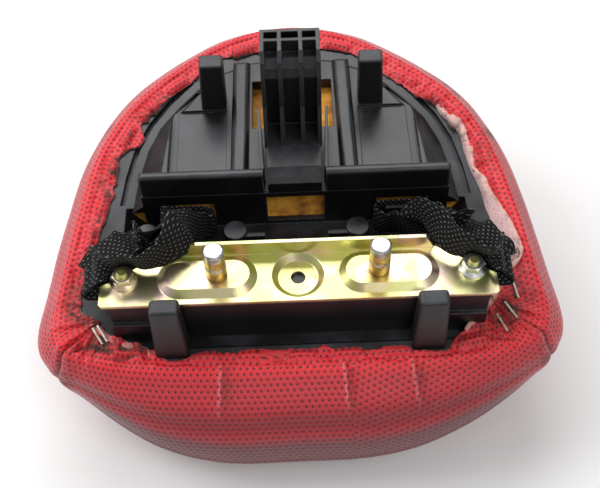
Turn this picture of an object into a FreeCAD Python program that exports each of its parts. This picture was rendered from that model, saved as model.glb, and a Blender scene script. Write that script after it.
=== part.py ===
import FreeCAD, Part
import math
import os
import Sketcher
from FreeCAD import Placement, Rotation, Vector

# Motorcycle pillion seat, stored upside down on its cushion: the crown of the cushion is on the
# ground, the moulded pan and its fittings face up (+Z), the hook tongue is at the +Y end.
# Every piece is drawn about the bracket datum (top of the bracket plate, on the line of its two
# nuts, on the plane of symmetry) and then placed so that the seat's box is centred over the origin.

doc = FreeCAD.newDocument("pillion_seat")
sheet = doc.addObject("Spreadsheet::Sheet", "dims")

DIMS = [
    # placing of the bracket datum in the part's frame
    ("datum_y", 61.67), ("datum_z", 104.0),
    # rim plane of the pan: height at datum_front_y and its rise per mm towards the rear
    ("rim_height", -32.0), ("rim_front_y", -30.0), ("rim_rise", 0.13),
    # pan
    ("floor_z", -34.0), ("wall_thick", 2.5), ("deck_z", -5.0), ("deck_thick", 6.5),
    ("flange_thick", 4.0), ("flange_top", 1.5),
    ("cross_wall_front", 57.0), ("cross_wall_thick", 6.0), ("cross_wall_half", 85.5),
    ("cross_wall_top", 11.0), ("cross_wall_gap_half", 17.2),
    ("box_half", 98.0), ("box_front", -15.6), ("box_rear", 20.0), ("box_top", -5.2),
    ("box_lip", -2.0), ("box_rib_top", 4.5), ("box_rib_half", 73.0), ("step_half", 62.0), ("step_z", -17.0),
    ("boss_radius", 6.5), ("boss_outer_x", 83.0), ("boss_inner_x", 34.0), ("boss_y", 41.5), ("boss_top", -17.0),
    ("tab_inner", 49.5), ("tab_outer", 66.4), ("tab_y", 47.5), ("tab_thick", 2.5), ("tab_top", -10.0),
    ("slot_half", 23.6), ("slot_near", 104.0), ("slot_far", 141.0),
    ("ridge_width", 10.0), ("ridge_rise", 5.0),
    # bracket
    ("plate_half", 102.5), ("plate_front", -15.6), ("plate_side", -3.5), ("plate_thick", 2.0),
    ("plate_shoulder", 71.0), ("plate_rear", 15.5), ("lip_height", 10.0), ("lip_half", 67.0),
    ("oval_x", 47.0), ("oval_half", 26.0), ("oval_radius", 12.6), ("oval_rise", 3.0), ("oval_slope", 4.0),
    ("dish_radius", 13.6), ("dish_flat", 10.4), ("dish_depth", 3.0), ("dish_hole", 3.75),
    ("nut_x", 90.2), ("bolt_hole", 3.3),
    # latch pins
    ("pin_x", 41.8), ("pin_radius", 5.5), ("pin_top", 25.0), ("pin_chamfer", 1.0),
    ("pin_groove_radius", 4.9), ("pin_groove_low", 12.0), ("pin_groove_high", 14.5),
    ("pin_shank", 4.0), ("pin_head", 5.6),
    # M6 hardware
    ("bolt_radius", 2.95), ("bolt_end", 8.0), ("bolt_head_flats", 10.0), ("bolt_head_thick", 4.0),
    ("nut_flats", 10.0), ("nut_height", 6.2), ("nut_flange_radius", 7.1), ("nut_flange_thick", 1.3), ("nut_bore", 3.05),
    # stand-off blocks
    ("front_block_x", 67.5), ("front_block_top", 10.0), ("rear_block_x", 46.0), ("rear_block_top", 30.0),
    # tongue
    ("tray_z", 8.0), ("tray_thick", 3.0), ("tongue_half", 16.0), ("web_y", 96.0), ("arm_z", 52.0),
    ("arm_thick", 3.0), ("rib_thick", 2.2), ("rib_inner_x", 5.6), ("tip_y", 117.0), ("tip_z", 60.0),
    # cover and foam
    ("cover_thick", 1.5), ("crown_z", -104.0),
    # straps
    ("strap_width", 20.0), ("strap_thick", 1.4), ("fold_x", 106.5), ("fold_z", 2.3),
]
D = {}
for row, (alias, value) in enumerate(DIMS, start=1):
    sheet.set("A%d" % row, alias)
    sheet.set("B%d" % row, repr(value))
    sheet.setAlias("B%d" % row, alias)
    D[alias] = value
doc.recompute()

SHIFT = Placement(Vector(0, -D["datum_y"], D["datum_z"]), Rotation())


def rim(y):
    """Height of the rim plane at y."""
    return D["rim_height"] + D["rim_rise"] * (y - D["rim_front_y"])


def value_of(item):
    if isinstance(item, str):
        return float(sum_of_terms(item))
    return float(item)


def sum_of_terms(text):
    """Value of a sum of signed terms, each a number or an alias, such as '-plate_half+2'."""
    total, term, sign = 0.0, "", 1.0
    for ch in text + "+":
        if ch in "+-":
            if term:
                factor = 1.0
                for piece in term.split("*"):
                    factor *= D[piece] if piece in D else float(piece)
                total += sign * factor
                term = ""
                sign = 1.0
            if ch == "-":
                sign = -sign
        else:
            term += ch
    return total


def dim_expr(text):
    """The same sum as an expression on the spreadsheet's cells."""
    out, term = "", ""
    for ch in text + " ":
        if ch in "+-* ":
            if term:
                out += ("dims." + term) if term in D else term
                term = ""
            if ch != " ":
                out += ch
        else:
            term += ch
    return out


def bind(obj, prop, text):
    obj.setExpression(prop, dim_expr(text))


def origin_plane(body, role):
    for feature in body.Origin.OriginFeatures:
        if feature.Role == role:
            return feature
    raise RuntimeError(role)


def new_body(label):
    body = doc.addObject("PartDesign::Body", label)
    body.Label = label
    return body


def attach(body, sketch, role, offset=0.0):
    sketch.AttachmentSupport = [(origin_plane(body, role), "")]
    sketch.MapMode = "FlatFace"
    if offset:
        sketch.AttachmentOffset = Placement(Vector(0, 0, offset), Rotation())


def pin_point(sketch, geo, pos, xval, yval, tag):
    """Dimension a point from the sketch origin, bound to the sheet where a name is given."""
    for axis, item in (("DistanceX", xval), ("DistanceY", yval)):
        number = value_of(item)
        text = item if isinstance(item, str) else None
        if abs(number) < 1e-9 and text is None:
            sketch.addConstraint(Sketcher.Constraint("PointOnObject", geo, pos, -2 if axis == "DistanceX" else -1))
            continue
        name = "%s_%s" % (tag, "x" if axis == "DistanceX" else "y")
        if number >= 0:
            index = sketch.addConstraint(Sketcher.Constraint(axis, -1, 1, geo, pos, number))
            expr = dim_expr(text) if text else None
        else:
            index = sketch.addConstraint(Sketcher.Constraint(axis, geo, pos, -1, 1, -number))
            expr = "-(" + dim_expr(text) + ")" if text else None
        sketch.renameConstraint(index, name)
        if expr:
            sketch.setExpression("Constraints." + name, expr)


def poly_sketch(body, name, role, points, offset=0.0):
    sketch = body.newObject("Sketcher::SketchObject", name)
    attach(body, sketch, role, offset)
    flat = [(value_of(a), value_of(b)) for a, b in points]
    count = len(points)
    for i in range(count):
        a, b = flat[i], flat[(i + 1) % count]
        sketch.addGeometry(Part.LineSegment(Vector(a[0], a[1], 0), Vector(b[0], b[1], 0)), False)
    for i in range(count):
        sketch.addConstraint(Sketcher.Constraint("Coincident", i, 2, (i + 1) % count, 1))
    for i in range(count):
        pin_point(sketch, i, 1, points[i][0], points[i][1], "p%d" % i)
    return sketch


def circle_sketch(body, name, role, circles, offset=0.0):
    sketch = body.newObject("Sketcher::SketchObject", name)
    attach(body, sketch, role, offset)
    for i, (cx, cy, radius) in enumerate(circles):
        sketch.addGeometry(Part.Circle(Vector(value_of(cx), value_of(cy), 0), Vector(0, 0, 1), value_of(radius)), False)
        pin_point(sketch, i, 3, cx, cy, "c%d" % i)
        index = sketch.addConstraint(Sketcher.Constraint("Radius", i, value_of(radius)))
        sketch.renameConstraint(index, "r%d" % i)
        if isinstance(radius, str):
            sketch.setExpression("Constraints.r%d" % i, dim_expr(radius))
    return sketch


def pad(body, sketch, name, length, reverse=False, midplane=False, taper=None):
    feature = body.newObject("PartDesign::Pad", name)
    feature.Profile = sketch
    if isinstance(length, str):
        feature.Length = value_of(length)
        bind(feature, "Length", length)
    else:
        feature.Length = length
    feature.Reversed = reverse
    feature.Midplane = midplane
    if taper is not None:
        feature.TaperAngle = taper
    body.Tip = feature
    return feature


def pocket(body, sketch, name, length, reverse=False, midplane=False):
    feature = body.newObject("PartDesign::Pocket", name)
    feature.Profile = sketch
    feature.Length = length
    feature.Reversed = reverse
    feature.Midplane = midplane
    body.Tip = feature
    return feature


def revolve(body, sketch, name, cut=False, axis="V_Axis"):
    feature = body.newObject("PartDesign::Groove" if cut else "PartDesign::Revolution", name)
    feature.Profile = sketch
    feature.ReferenceAxis = (sketch, [axis])
    feature.Angle = 360.0
    body.Tip = feature
    return feature


def box(name, xlo, xhi, ylo, yhi, zlo, zhi):
    """Part box between named or plain limits, every size bound to the sheet where it is named."""
    obj = doc.addObject("Part::Box", name)
    for prop, low, high in (("Length", xlo, xhi), ("Width", ylo, yhi), ("Height", zlo, zhi)):
        size = value_of(high) - value_of(low)
        setattr(obj, prop, size)
        if isinstance(low, str) or isinstance(high, str):
            hi = dim_expr(high) if isinstance(high, str) else repr(float(high))
            lo = dim_expr(low) if isinstance(low, str) else repr(float(low))
            obj.setExpression(prop, "(%s)-(%s)" % (hi, lo))
    obj.Placement = Placement(Vector(value_of(xlo), value_of(ylo), value_of(zlo)), Rotation())
    for part, low in (("x", xlo), ("y", ylo), ("z", zlo)):
        if isinstance(low, str):
            obj.setExpression("Placement.Base." + part, dim_expr(low))
    return obj


def cylinder(name, radius, x, y, zlo, zhi):
    obj = doc.addObject("Part::Cylinder", name)
    obj.Radius = value_of(radius)
    obj.Height = value_of(zhi) - value_of(zlo)
    if isinstance(radius, str):
        bind(obj, "Radius", radius)
    hi = dim_expr(zhi) if isinstance(zhi, str) else repr(float(zhi))
    lo = dim_expr(zlo) if isinstance(zlo, str) else repr(float(zlo))
    obj.setExpression("Height", "(%s)-(%s)" % (hi, lo))
    obj.Placement = Placement(Vector(value_of(x), value_of(y), value_of(zlo)), Rotation())
    for part, low in (("x", x), ("y", y), ("z", zlo)):
        if isinstance(low, str):
            obj.setExpression("Placement.Base." + part, dim_expr(low))
    return obj


def feature(name, shape):
    obj = doc.addObject("Part::Feature", name)
    obj.Shape = shape
    return obj


def fuse(name, items):
    obj = doc.addObject("Part::MultiFuse", name)
    obj.Shapes = items
    obj.Refine = True
    return obj


def cut(name, base, tool):
    obj = doc.addObject("Part::Cut", name)
    obj.Base = base
    obj.Tool = tool
    obj.Refine = True
    return obj


def common(name, base, tool):
    obj = doc.addObject("Part::Common", name)
    obj.Base = base
    obj.Tool = tool
    return obj


def fillet(name, base, wanted, radius):
    """Part fillet on the edges of base that wanted(edge) picks."""
    doc.recompute()
    edges = []
    for index, edge in enumerate(base.Shape.Edges, start=1):
        if wanted(edge):
            edges.append((index, radius, radius))
    if not edges:
        raise RuntimeError("no edge picked for " + name)
    obj = doc.addObject("Part::Fillet", name)
    obj.Base = base
    obj.Edges = edges
    return obj


def edge_mid(edge):
    return edge.valueAt(0.5 * (edge.FirstParameter + edge.LastParameter))


def top_or_upright(top, keep_low=True):
    def wanted(edge):
        if len(edge.Vertexes) != 2:
            return False
        a, b = edge.Vertexes[0].Point, edge.Vertexes[1].Point
        if abs(a.z - top) < 1e-4 and abs(b.z - top) < 1e-4:
            return True
        return abs(a.x - b.x) < 1e-4 and abs(a.y - b.y) < 1e-4
    return wanted


def closed_curve(points):
    curve = Part.BSplineCurve()
    curve.interpolate(Points=[Vector(*p) for p in points], PeriodicFlag=True)
    return Part.Wire([curve.toShape()])


def ring(half):
    """Closed loop of points from the right-hand half of an outline, front centre to rear centre."""
    left = [(-p[0],) + tuple(p[1:]) for p in half[-2:0:-1]]
    return list(half) + left


def inset(half, amount):
    """Half outline moved inwards in plan by amount (outwards if negative)."""
    loop = ring(half)
    count = len(loop)
    out = []
    for i in range(len(half)):
        a, b = loop[i - 1], loop[(i + 1) % count]
        tx, ty = b[0] - a[0], b[1] - a[1]
        size = math.hypot(tx, ty)
        nx, ny = -ty / size, tx / size
        x, y = loop[i][0] + nx * amount, loop[i][1] + ny * amount
        if i == 0 or i == len(half) - 1:
            x = 0.0
        out.append((x, y) + tuple(loop[i][2:]))
    return out


def on_plane(half, lift):
    return [(p[0], p[1], rim(p[1]) + lift) for p in half]


def plan_prism(points, low, high):
    """Upright prism over a closed plan curve between two levels measured from the rim plane."""
    wire = closed_curve([(p[0], p[1], rim(p[1]) + low) for p in ring(points)])
    return Part.Face(wire).extrude(Vector(0, 0, high - low))


def polygon_prism(points, low, high):
    pts = [Vector(p[0], p[1], low) for p in points]
    return Part.Face(Part.makePolygon(pts + [pts[0]])).extrude(Vector(0, 0, high - low))


def loft(wires, ruled=False):
    return Part.makeLoft(wires, True, ruled)


# ---------------------------------------------------------------- cushion lines
# Right-hand half outlines, front centre to rear centre.  T roll top, W widest line, M seam, C lower
# crown, P flat patch of the crown that the seat lies on.
T_LINE = [(0, -38), (45, -37.5), (85, -35.5), (112, -31), (130, -18), (130, 8), (125.5, 36), (119.8, 66),
          (113.4, 92), (105, 113), (92.5, 133), (79, 146.5), (61, 160), (38, 172.5), (17, 178.5), (0, 180)]
W_LINE = [(0, -63, -50), (45, -60.5, -49.5), (85, -51.5, -47.5), (118, -38, -45), (142.5, -17, -42),
          (142.3, 11, -39), (137.4, 39, -35.5), (131.3, 70, -31.5), (124.6, 98, -28), (115.4, 121, -25),
          (102, 143.5, -22), (87.5, 158.3, -20), (68, 172.5, -18.3), (42, 186, -16.6), (18.7, 191.3, -15.8), (0, 192.8, -15.6)]
M_XY = [(0, -69.5), (46, -66), (88, -52.5), (119, -35.5), (140.3, -14), (141.2, 12), (135.8, 40), (129.3, 70),
        (122.3, 97), (112.6, 119.5), (99, 140.5), (84.7, 154.3), (65.6, 168.2), (40.7, 180.6), (18, 186), (0, 187.4)]
C_LINE = [(0, -48, -95), (36, -45, -94), (69, -33, -90.5), (93, -17, -86.5), (108, 4, -83.5), (111, 24, -82),
          (108, 48, -80), (103, 72, -77), (96, 94, -74), (87, 113, -71), (76, 129.5, -68), (64, 141, -65.5),
          (49, 151.5, -63.5), (31, 160, -62), (14, 164, -61), (0, 165, -61)]
P_LINE = [(0, -18), (22, -15), (40, -6), (50, 5), (56, 18), (58, 30), (58, 44), (56, 58), (52, 70), (47, 80),
          (40, 88), (33, 93.5), (25, 97.5), (16, 100.5), (8, 102), (0, 102.5)]
# Seam height against y.
SEAM = [(-75, -84), (-69.5, -81), (-60, -75), (-50, -69.5), (-38, -63), (-25, -57.5), (-12, -54.3), (12, -52),
        (40, -49.5), (70, -46.5), (97, -43.5), (120, -41), (142, -38.3), (160, -36), (180, -33), (200, -30.5)]


def seam_z(y):
    for (ya, za), (yb, zb) in zip(SEAM, SEAM[1:]):
        if y <= yb:
            return za + (zb - za) * (y - ya) / (yb - ya)
    return SEAM[-1][1]


M_LINE = [(x, y, seam_z(y)) for x, y in M_XY]
thick = D["cover_thick"]
outer_rails = [on_plane(T_LINE, 2 * thick), W_LINE, M_LINE, C_LINE, [(x, y, D["crown_z"]) for x, y in P_LINE]]


def shrink(rails, amount):
    t_rail, w_rail, m_rail, c_rail, p_rail = rails
    lifted = [(x, y, z - amount) for x, y, z in inset(t_rail, amount)]
    lifted = [(x, y, rim(y) + 2 * thick - amount) for x, y, z in lifted]
    w_in = inset(w_rail, amount)
    m_in = [(x, y, z + 0.35 * amount) for x, y, z in inset(m_rail, amount)]
    c_in = [(x, y, z + 0.9 * amount) for x, y, z in inset(c_rail, 0.55 * amount)]
    p_in = [(x, y, z + amount) for x, y, z in p_rail]
    return [lifted, w_in, m_in, c_in, p_in]


def cushion_solid(rails):
    """Ruled bands: a smooth line through roll top, widest line and seam, then a dome from seam to flat patch."""
    t_rail, w_rail, m_rail, c_rail, p_rail = rails
    count = len(t_rail)
    uppers, lowers = [], []
    for i in range(count):
        upper = Part.BSplineCurve()
        upper.interpolate(Points=[Vector(*t_rail[i]), Vector(*w_rail[i]), Vector(*m_rail[i])], Parameters=[0.0, 1.0, 2.0])
        lower = Part.BSplineCurve()
        lower.interpolate(Points=[Vector(*m_rail[i]), Vector(*c_rail[i]), Vector(*p_rail[i])], Parameters=[0.0, 1.0, 2.4])
        uppers.append(upper)
        lowers.append(lower)
    floor = p_rail[0][2]
    wires = []
    for lines, steps in ((uppers, (0.0, 0.22, 0.5, 0.75, 1.0, 1.3, 1.65, 2.0)), (lowers, (0.35, 0.7, 1.05, 1.45, 1.9, 2.4))):
        for u in steps:
            half = []
            for i, line in enumerate(lines):
                v = line.value(u)
                x, y, z = v.x, v.y, v.z
                if lines is lowers and u > 1.0:
                    share = (2.4 - u) / 1.4
                    z = floor + (c_rail[i][2] - floor) * share ** 1.35
                if u == 2.4:
                    z = floor
                half.append((0.0 if i in (0, count - 1) else x, y, z))
            wires.append(closed_curve(ring(half)))
    return loft(wires, True)


outer_shape = cushion_solid(outer_rails)
inner_shape = cushion_solid(shrink(outer_rails, thick))
foam_shape = cushion_solid(shrink(outer_rails, thick + 0.1))

# ---------------------------------------------------------------- seat pan
PAN_EDGE = inset(T_LINE, 5.0)
pan_parts = []
pan_cuts = []

# rim flange and the tilted skin of the tray
pan_parts.append(feature("pan_flange", plan_prism(PAN_EDGE, D["flange_top"] - D["flange_thick"], D["flange_top"])))

# sunken pocket at the front: sloping sides, flat floor
lip = 1.5


def pocket_solid(grow, low, top_lift):
    low_pts = [(-86 - grow, -22 - grow), (86 + grow, -22 - grow), (86 + grow, 60), (-86 - grow, 60)]
    high_pts = [(-100 - grow, -25 - grow), (100 + grow, -25 - grow), (96 + grow, 60), (-96 - grow, 60)]
    bottom = Part.makePolygon([Vector(x, y, low) for x, y in low_pts + low_pts[:1]])
    top = Part.makePolygon([Vector(x, y, rim(y) + top_lift) for x, y in high_pts + high_pts[:1]])
    return loft([bottom, top], True)


pan_parts.append(feature("pan_pocket_skin", pocket_solid(D["wall_thick"], D["floor_z"] - D["wall_thick"], D["flange_top"])))
pocket_in = pocket_solid(0.0, D["floor_z"], D["flange_top"] + 0.01)
pan_pocket_cut = feature("pan_pocket_cut", pocket_in)

# raised rear deck: sloping sides from the rim plane up to the flat deck
DECK_FOOT = [(95.5, 57), (92.8, 78), (88.5, 97), (81, 113.5), (70.5, 128.5), (58.5, 141.5), (44, 152.5), (24, 160.5), (0, 163)]
DECK_TOP = [(76, 57), (74.5, 78), (72.5, 97), (69.5, 112), (60.5, 124), (54, 134), (42, 147), (23.5, 155.5), (0, 158)]


def deck_solid(shrink_by, top, foot_lift, front):
    foot = [(x - shrink_by, y - shrink_by * 0.7) if x > 0 else (0, y - shrink_by) for x, y in DECK_FOOT]
    crest = [(x - shrink_by, y - shrink_by * 0.7) if x > 0 else (0, y - shrink_by) for x, y in DECK_TOP]
    foot[0] = (foot[0][0], front)
    crest[0] = (crest[0][0], front)

    def wire(half, height):
        right = [Vector(x, y, height(y)) for x, y in half]
        left = [Vector(-x, y, height(y)) for x, y in half[-2::-1]]
        pts = right + left
        return Part.makePolygon(pts + [pts[0]])
    return loft([wire(foot, lambda y: rim(y) + foot_lift), wire(crest, lambda y: top)], True)


pan_parts.append(feature("pan_deck", deck_solid(0.0, D["deck_z"], -1.0, D["cross_wall_front"])))
pan_cuts.append(feature("pan_deck_hollow", deck_solid(3.0, D["deck_z"] - D["deck_thick"], -6.0, D["cross_wall_front"] + 3.0)))

# cross wall: below the deck it belongs to the tray; the upstand above the deck is made after the tray
for side in ("right", "left"):
    lo, hi = ("cross_wall_gap_half", "cross_wall_half") if side == "right" else ("-cross_wall_half", "-cross_wall_gap_half")
    pan_parts.append(box("pan_cross_wall_" + side, lo, hi, "cross_wall_front", "cross_wall_front+cross_wall_thick", "floor_z-1", "deck_z"))
# the wall below the deck carries on behind the tongue's window
pan_parts.append(box("pan_wall_sill", "-cross_wall_gap_half-1", "cross_wall_gap_half+1", "cross_wall_front", "cross_wall_front+3", "floor_z-1", "deck_z"))

# bracket box: front, rear and end walls, and the shelf under the bracket
box_parts = [
    box("box_front_wall", "-step_half", "step_half", "box_front", "box_front+wall_thick", "floor_z", "box_lip"),
    box("box_front_wide", "-box_half", "box_half", "box_front+0.6", "box_front+wall_thick", "floor_z", "box_lip"),
    box("box_step_right", "step_half", "box_half", "box_front-1.8", "box_front+wall_thick", "floor_z", "step_z"),
    box("box_step_left", "-box_half", "-step_half", "box_front-1.8", "box_front+wall_thick", "floor_z", "step_z"),
    box("box_rear_wall", "-box_half", "box_half", "box_rear-wall_thick", "box_rear", "floor_z", "box_top"),
    box("box_end_right", "box_half-wall_thick", "box_half", "box_front+0.6", "box_rear", "floor_z", "box_top"),
    box("box_end_left", "-box_half", "-box_half+wall_thick", "box_front+0.6", "box_rear", "floor_z", "box_top"),
    box("box_shelf", "-box_half", "box_half", "box_front+0.6", "box_rear", "box_top-wall_thick", "box_top")]
rib = box("box_rib", "-box_rib_half", "box_rib_half", "box_rear-3.2", "box_rear", "box_top-1", "box_rib_top")
doc.recompute()
box_parts.append(fillet("box_rib_round", rib, lambda e: abs(edge_mid(e).z - D["box_rib_top"]) < 1e-4, 1.2))
pan_cuts.append(box("pan_box_hollow", "-box_half+wall_thick+8", "box_half-wall_thick-8", "box_front+wall_thick", "box_rear-wall_thick", "floor_z-wall_thick-2", "floor_z+1"))
box_cuts = [cylinder("box_dish_room", 14.8, 0.0, 0.0, "box_top", 1.0)]
for side, x in (("right", "nut_x"), ("left", "-nut_x")):
    box_cuts.append(cylinder("box_bolt_hole_" + side, 3.1, x, 0.0, "box_top-8", "box_top+2"))

# round bosses and short ribs on the recess floor
for name, x in (("outer_right", "boss_outer_x"), ("inner_right", "boss_inner_x"), ("outer_left", "-boss_outer_x"), ("inner_left", "-boss_inner_x")):
    stump = cylinder("pan_boss_" + name, "boss_radius", x, "boss_y", "floor_z-1", "boss_top")
    doc.recompute()
    pan_parts.append(fillet("pan_boss_round_" + name, stump, lambda e: abs(edge_mid(e).z - D["boss_top"]) < 1e-4, 0.8))
pan_parts.append(box("pan_short_rib_right", 17.5, "boss_inner_x-5", 38.0, 40.5, "floor_z-1", -19.0))
pan_parts.append(box("pan_short_rib_left", "-boss_inner_x+5", -17.5, 38.0, 40.5, "floor_z-1", -19.0))

# strap tabs
for side, sign in (("right", 1), ("left", -1)):
    lo, hi = ("tab_inner", "tab_outer") if sign > 0 else ("-tab_outer", "-tab_inner")
    tab = box("pan_tab_" + side, lo, hi, "tab_y", "tab_y+tab_thick", "floor_z-1", "tab_top")
    doc.recompute()
    pan_parts.append(fillet("pan_tab_round_" + side, tab, lambda e: abs(edge_mid(e).z - D["tab_top"]) < 1e-4, 0.9))

# windows that show the foam: behind each tab, under the tongue's lip, and beside the tongue
pan_cuts.append(box("pan_window_right", 45.5, 72.0, "cross_wall_front-1", "cross_wall_front+cross_wall_thick+4", -31.0, -13.0))
pan_cuts.append(box("pan_window_left", -72.0, -45.5, "cross_wall_front-1", "cross_wall_front+cross_wall_thick+4", -31.0, -13.0))
pan_cuts.append(box("pan_window_centre", -16.2, 16.2, "cross_wall_front-1", "cross_wall_front+cross_wall_thick+4", -31.0, -8.8))
pan_cuts.append(box("pan_slot", "-slot_half", "slot_half", "slot_near", "slot_far", -30.0, 2.0))

# recessed panels of the deck, the channel outside them, and the outer groove in the rim flange
for side, sign in (("right", 1), ("left", -1)):
    panel = [(38.5, 66.0), (67.0, 66.0), (66.3, 119.5), (38.5, 119.5)]
    pan_cuts.append(feature("pan_panel_" + side, polygon_prism([(sign * x, y) for x, y in panel], D["deck_z"] - 1.6, D["deck_z"] + 3)))
    channel = [(67.0, 64.0), (72.0, 64.0), (71.2, 118.0), (70.0, 122.0), (57.5, 136.0), (54.0, 133.4), (66.3, 119.5)]
    pan_cuts.append(feature("pan_channel_" + side, polygon_prism([(sign * x, y) for x, y in channel], D["deck_z"] - 5.2, D["deck_z"] + 3)))
    groove = [(96.6, 62.0), (93.9, 80.0), (89.5, 98.5), (82.0, 115.0), (71.3, 130.3), (59.2, 143.4),
              (61.6, 145.6), (73.8, 132.3), (84.8, 116.4), (92.4, 99.6), (96.9, 80.6), (99.6, 62.0)]
    pan_cuts.append(feature("pan_groove_" + side, polygon_prism([(sign * x, y) for x, y in groove], -24.0, 10.0).common(
        plan_prism(PAN_EDGE, D["flange_top"] - 3.0, D["flange_top"] + 8.0))))

# rounded ridges of the deck
ridges = []
for side, sign in (("right", 1), ("left", -1)):
    rail = doc.addObject("Part::Box", "pan_ridge_" + side)
    bind(rail, "Length", "ridge_width")
    rail.Width = 90.8
    bind(rail, "Height", "ridge_rise+2")
    rail.Placement = Placement(Vector(sign * 31.0 - 5.0, 63.2, D["deck_z"] - 2.0), Rotation(Vector(0, 0, 1), sign * 0.75), Vector(5.0, 0, 0))
    doc.recompute()
    ridge_top = D["deck_z"] + D["ridge_rise"]
    ridges.append(fillet("pan_ridge_round_" + side, rail,
                         lambda e: len(e.Vertexes) == 2 and abs(edge_mid(e).z - ridge_top) < 1e-4, 3.2))
pan_parts += ridges

# cheek walls beside the tongue's tray
for side, sign in (("right", 1), ("left", -1)):
    cheek = [(16.6, 63.05), (18.4, 63.05), (20.2, 107.0), (18.6, 107.0)]
    pts = [Vector(sign * x, y, D["deck_z"] - 3) for x, y in cheek]
    body_shape = Part.Face(Part.makePolygon(pts + [pts[0]])).extrude(Vector(0, 0, D["tray_z"] + 1.0 - D["deck_z"] + 3))
    pan_parts.append(feature("pan_cheek_" + side, body_shape))

pan_solid = fuse("pan_solid", pan_parts)
pan_open = cut("pan_open", pan_solid, pan_pocket_cut)
# the pocket's own fittings stand inside it, so they are joined again after the pocket is opened
inside = fuse("pan_fittings", [o for o in pan_parts if not o.Name.startswith(("pan_flange", "pan_pocket", "pan_deck"))])
pan_joined = fuse("pan_joined", [pan_open, inside])
pan_tool = fuse("pan_openings", pan_cuts)
seat_pan = cut("seat_pan", pan_joined, pan_tool)
seat_pan.Label = "seat_pan"
seat_pan.Placement = SHIFT
doc.recompute()

# bracket box, set down on the tray's floor and fitted between its sloping sides
tray_body = plan_prism(PAN_EDGE, -60.0, D["flange_top"]).cut(pocket_in)
box_solid = fuse("box_solid", box_parts)
box_fitted = cut("box_fitted", box_solid, feature("box_surroundings", tray_body))
bracket_box = cut("bracket_box", box_fitted, fuse("box_openings", box_cuts))
bracket_box.Label = "bracket_box"
bracket_box.Placement = SHIFT

# upstands of the cross wall, with a rounded top and outer end
for side, sign in (("right", 1), ("left", -1)):
    lo, hi = ("cross_wall_gap_half", "cross_wall_half") if sign > 0 else ("-cross_wall_half", "-cross_wall_gap_half")
    wall = box("wall_block_" + side, lo, hi, "cross_wall_front", "cross_wall_front+cross_wall_thick", "deck_z", "cross_wall_top")
    doc.recompute()
    far_x = sign * D["cross_wall_half"]
    upstand = fillet("cross_wall_" + side, wall,
                     lambda e: (abs(edge_mid(e).z - D["cross_wall_top"]) < 1e-4 and abs(e.Vertexes[0].Point.y - e.Vertexes[1].Point.y) < 1e-4)
                     or (abs(edge_mid(e).z - D["cross_wall_top"]) < 1e-4 and abs(edge_mid(e).x - far_x) < 1e-4)
                     or (abs(edge_mid(e).x - far_x) < 1e-4 and abs(edge_mid(e).y - D["cross_wall_front"]) < 1e-4), 2.4)
    upstand.Label = "cross_wall_" + side
    upstand.Placement = SHIFT
doc.recompute()

# ---------------------------------------------------------------- hook tongue
tongue = new_body("rear_tongue")
SIDE = "YZ_Plane"
profile = poly_sketch(tongue, "tongue_profile", SIDE, [
    (57.0, "deck_z"), (59.6, "deck_z"), (59.6, 1.0), (66.0, "tray_z-tray_thick"), ("web_y+3", "tray_z-tray_thick"), ("web_y+3", 43.0), (100.6, 46.8),
    (104.4, "arm_z-arm_thick"), ("tip_y", "arm_z-arm_thick"), ("tip_y", "arm_z"), (103.0, "arm_z"), (98.2, 49.6), ("web_y", 44.5),
    ("web_y", "tray_z"), (65.0, "tray_z"), (60.0, 5.6), (57.0, 3.0)])
pad(tongue, profile, "tongue_sheet", "tongue_half*2-rib_thick", midplane=True)
rib_points = [(84.0, "tray_z-1"), ("web_y+1.5", "tray_z-1"), ("web_y+1.5", 44.0), (101.0, 48.6), (104.6, "arm_z-1"), ("tip_y", "arm_z-1"),
              ("tip_y", "tip_z"), (101.0, "tip_z"), (95.5, 56.5), (92.0, 50.0), (88.5, 30.0), (79.0, "tray_z"), (79.0, "tray_z-1")]
for name, offset in (("outer_right", "tongue_half-rib_thick"), ("inner_right", "rib_inner_x-1.1"), ("inner_left", "-rib_inner_x-1.1"), ("outer_left", "-tongue_half")):
    rib_sketch = poly_sketch(tongue, "tongue_rib_profile_" + name, SIDE, rib_points, value_of(offset))
    pad(tongue, rib_sketch, "tongue_rib_" + name, "rib_thick")
for name, near in (("middle", 108.2), ("end", 115.0)):
    cross = poly_sketch(tongue, "tongue_cross_profile_" + name, SIDE, [(near, "arm_z-1"), (near + 2.0, "arm_z-1"), (near + 2.0, "tip_z"), (near, "tip_z")])
    pad(tongue, cross, "tongue_cross_rib_" + name, "tongue_half*2-1", midplane=True)
tongue.Placement = SHIFT
doc.recompute()

# ---------------------------------------------------------------- bracket
plate = poly = None
bracket = new_body("lock_bracket")
outline = poly_sketch(bracket, "plate_outline", "XY_Plane", [
    ("-plate_half+1.5", "plate_front"), ("plate_half-1.5", "plate_front"), ("plate_half", "plate_front+1.5"), ("plate_half", "plate_side"),
    ("plate_shoulder", "plate_rear"), ("-plate_shoulder", "plate_rear"), ("-plate_half", "plate_side"), ("-plate_half", "plate_front+1.5")])
pad(bracket, outline, "plate", "plate_thick", reverse=True)
lip_sketch = poly_sketch(bracket, "lip_outline", "XZ_Plane", [
    ("-plate_shoulder", -1.0), ("plate_shoulder", -1.0), ("plate_shoulder", 2.0), ("lip_half", "lip_height"), ("-lip_half", "lip_height"), ("-plate_shoulder", 2.0)],
    -value_of("plate_rear"))
pad(bracket, lip_sketch, "rear_lip", "plate_thick")
dish_add = poly_sketch(bracket, "dish_under", "XZ_Plane", [(0.0, -5.0), ("dish_flat+0.6", -5.0), ("dish_radius+0.6", -2.0), ("dish_radius+0.6", -1.0), (0.0, -1.0)])
revolve(bracket, dish_add, "dish_boss")
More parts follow.
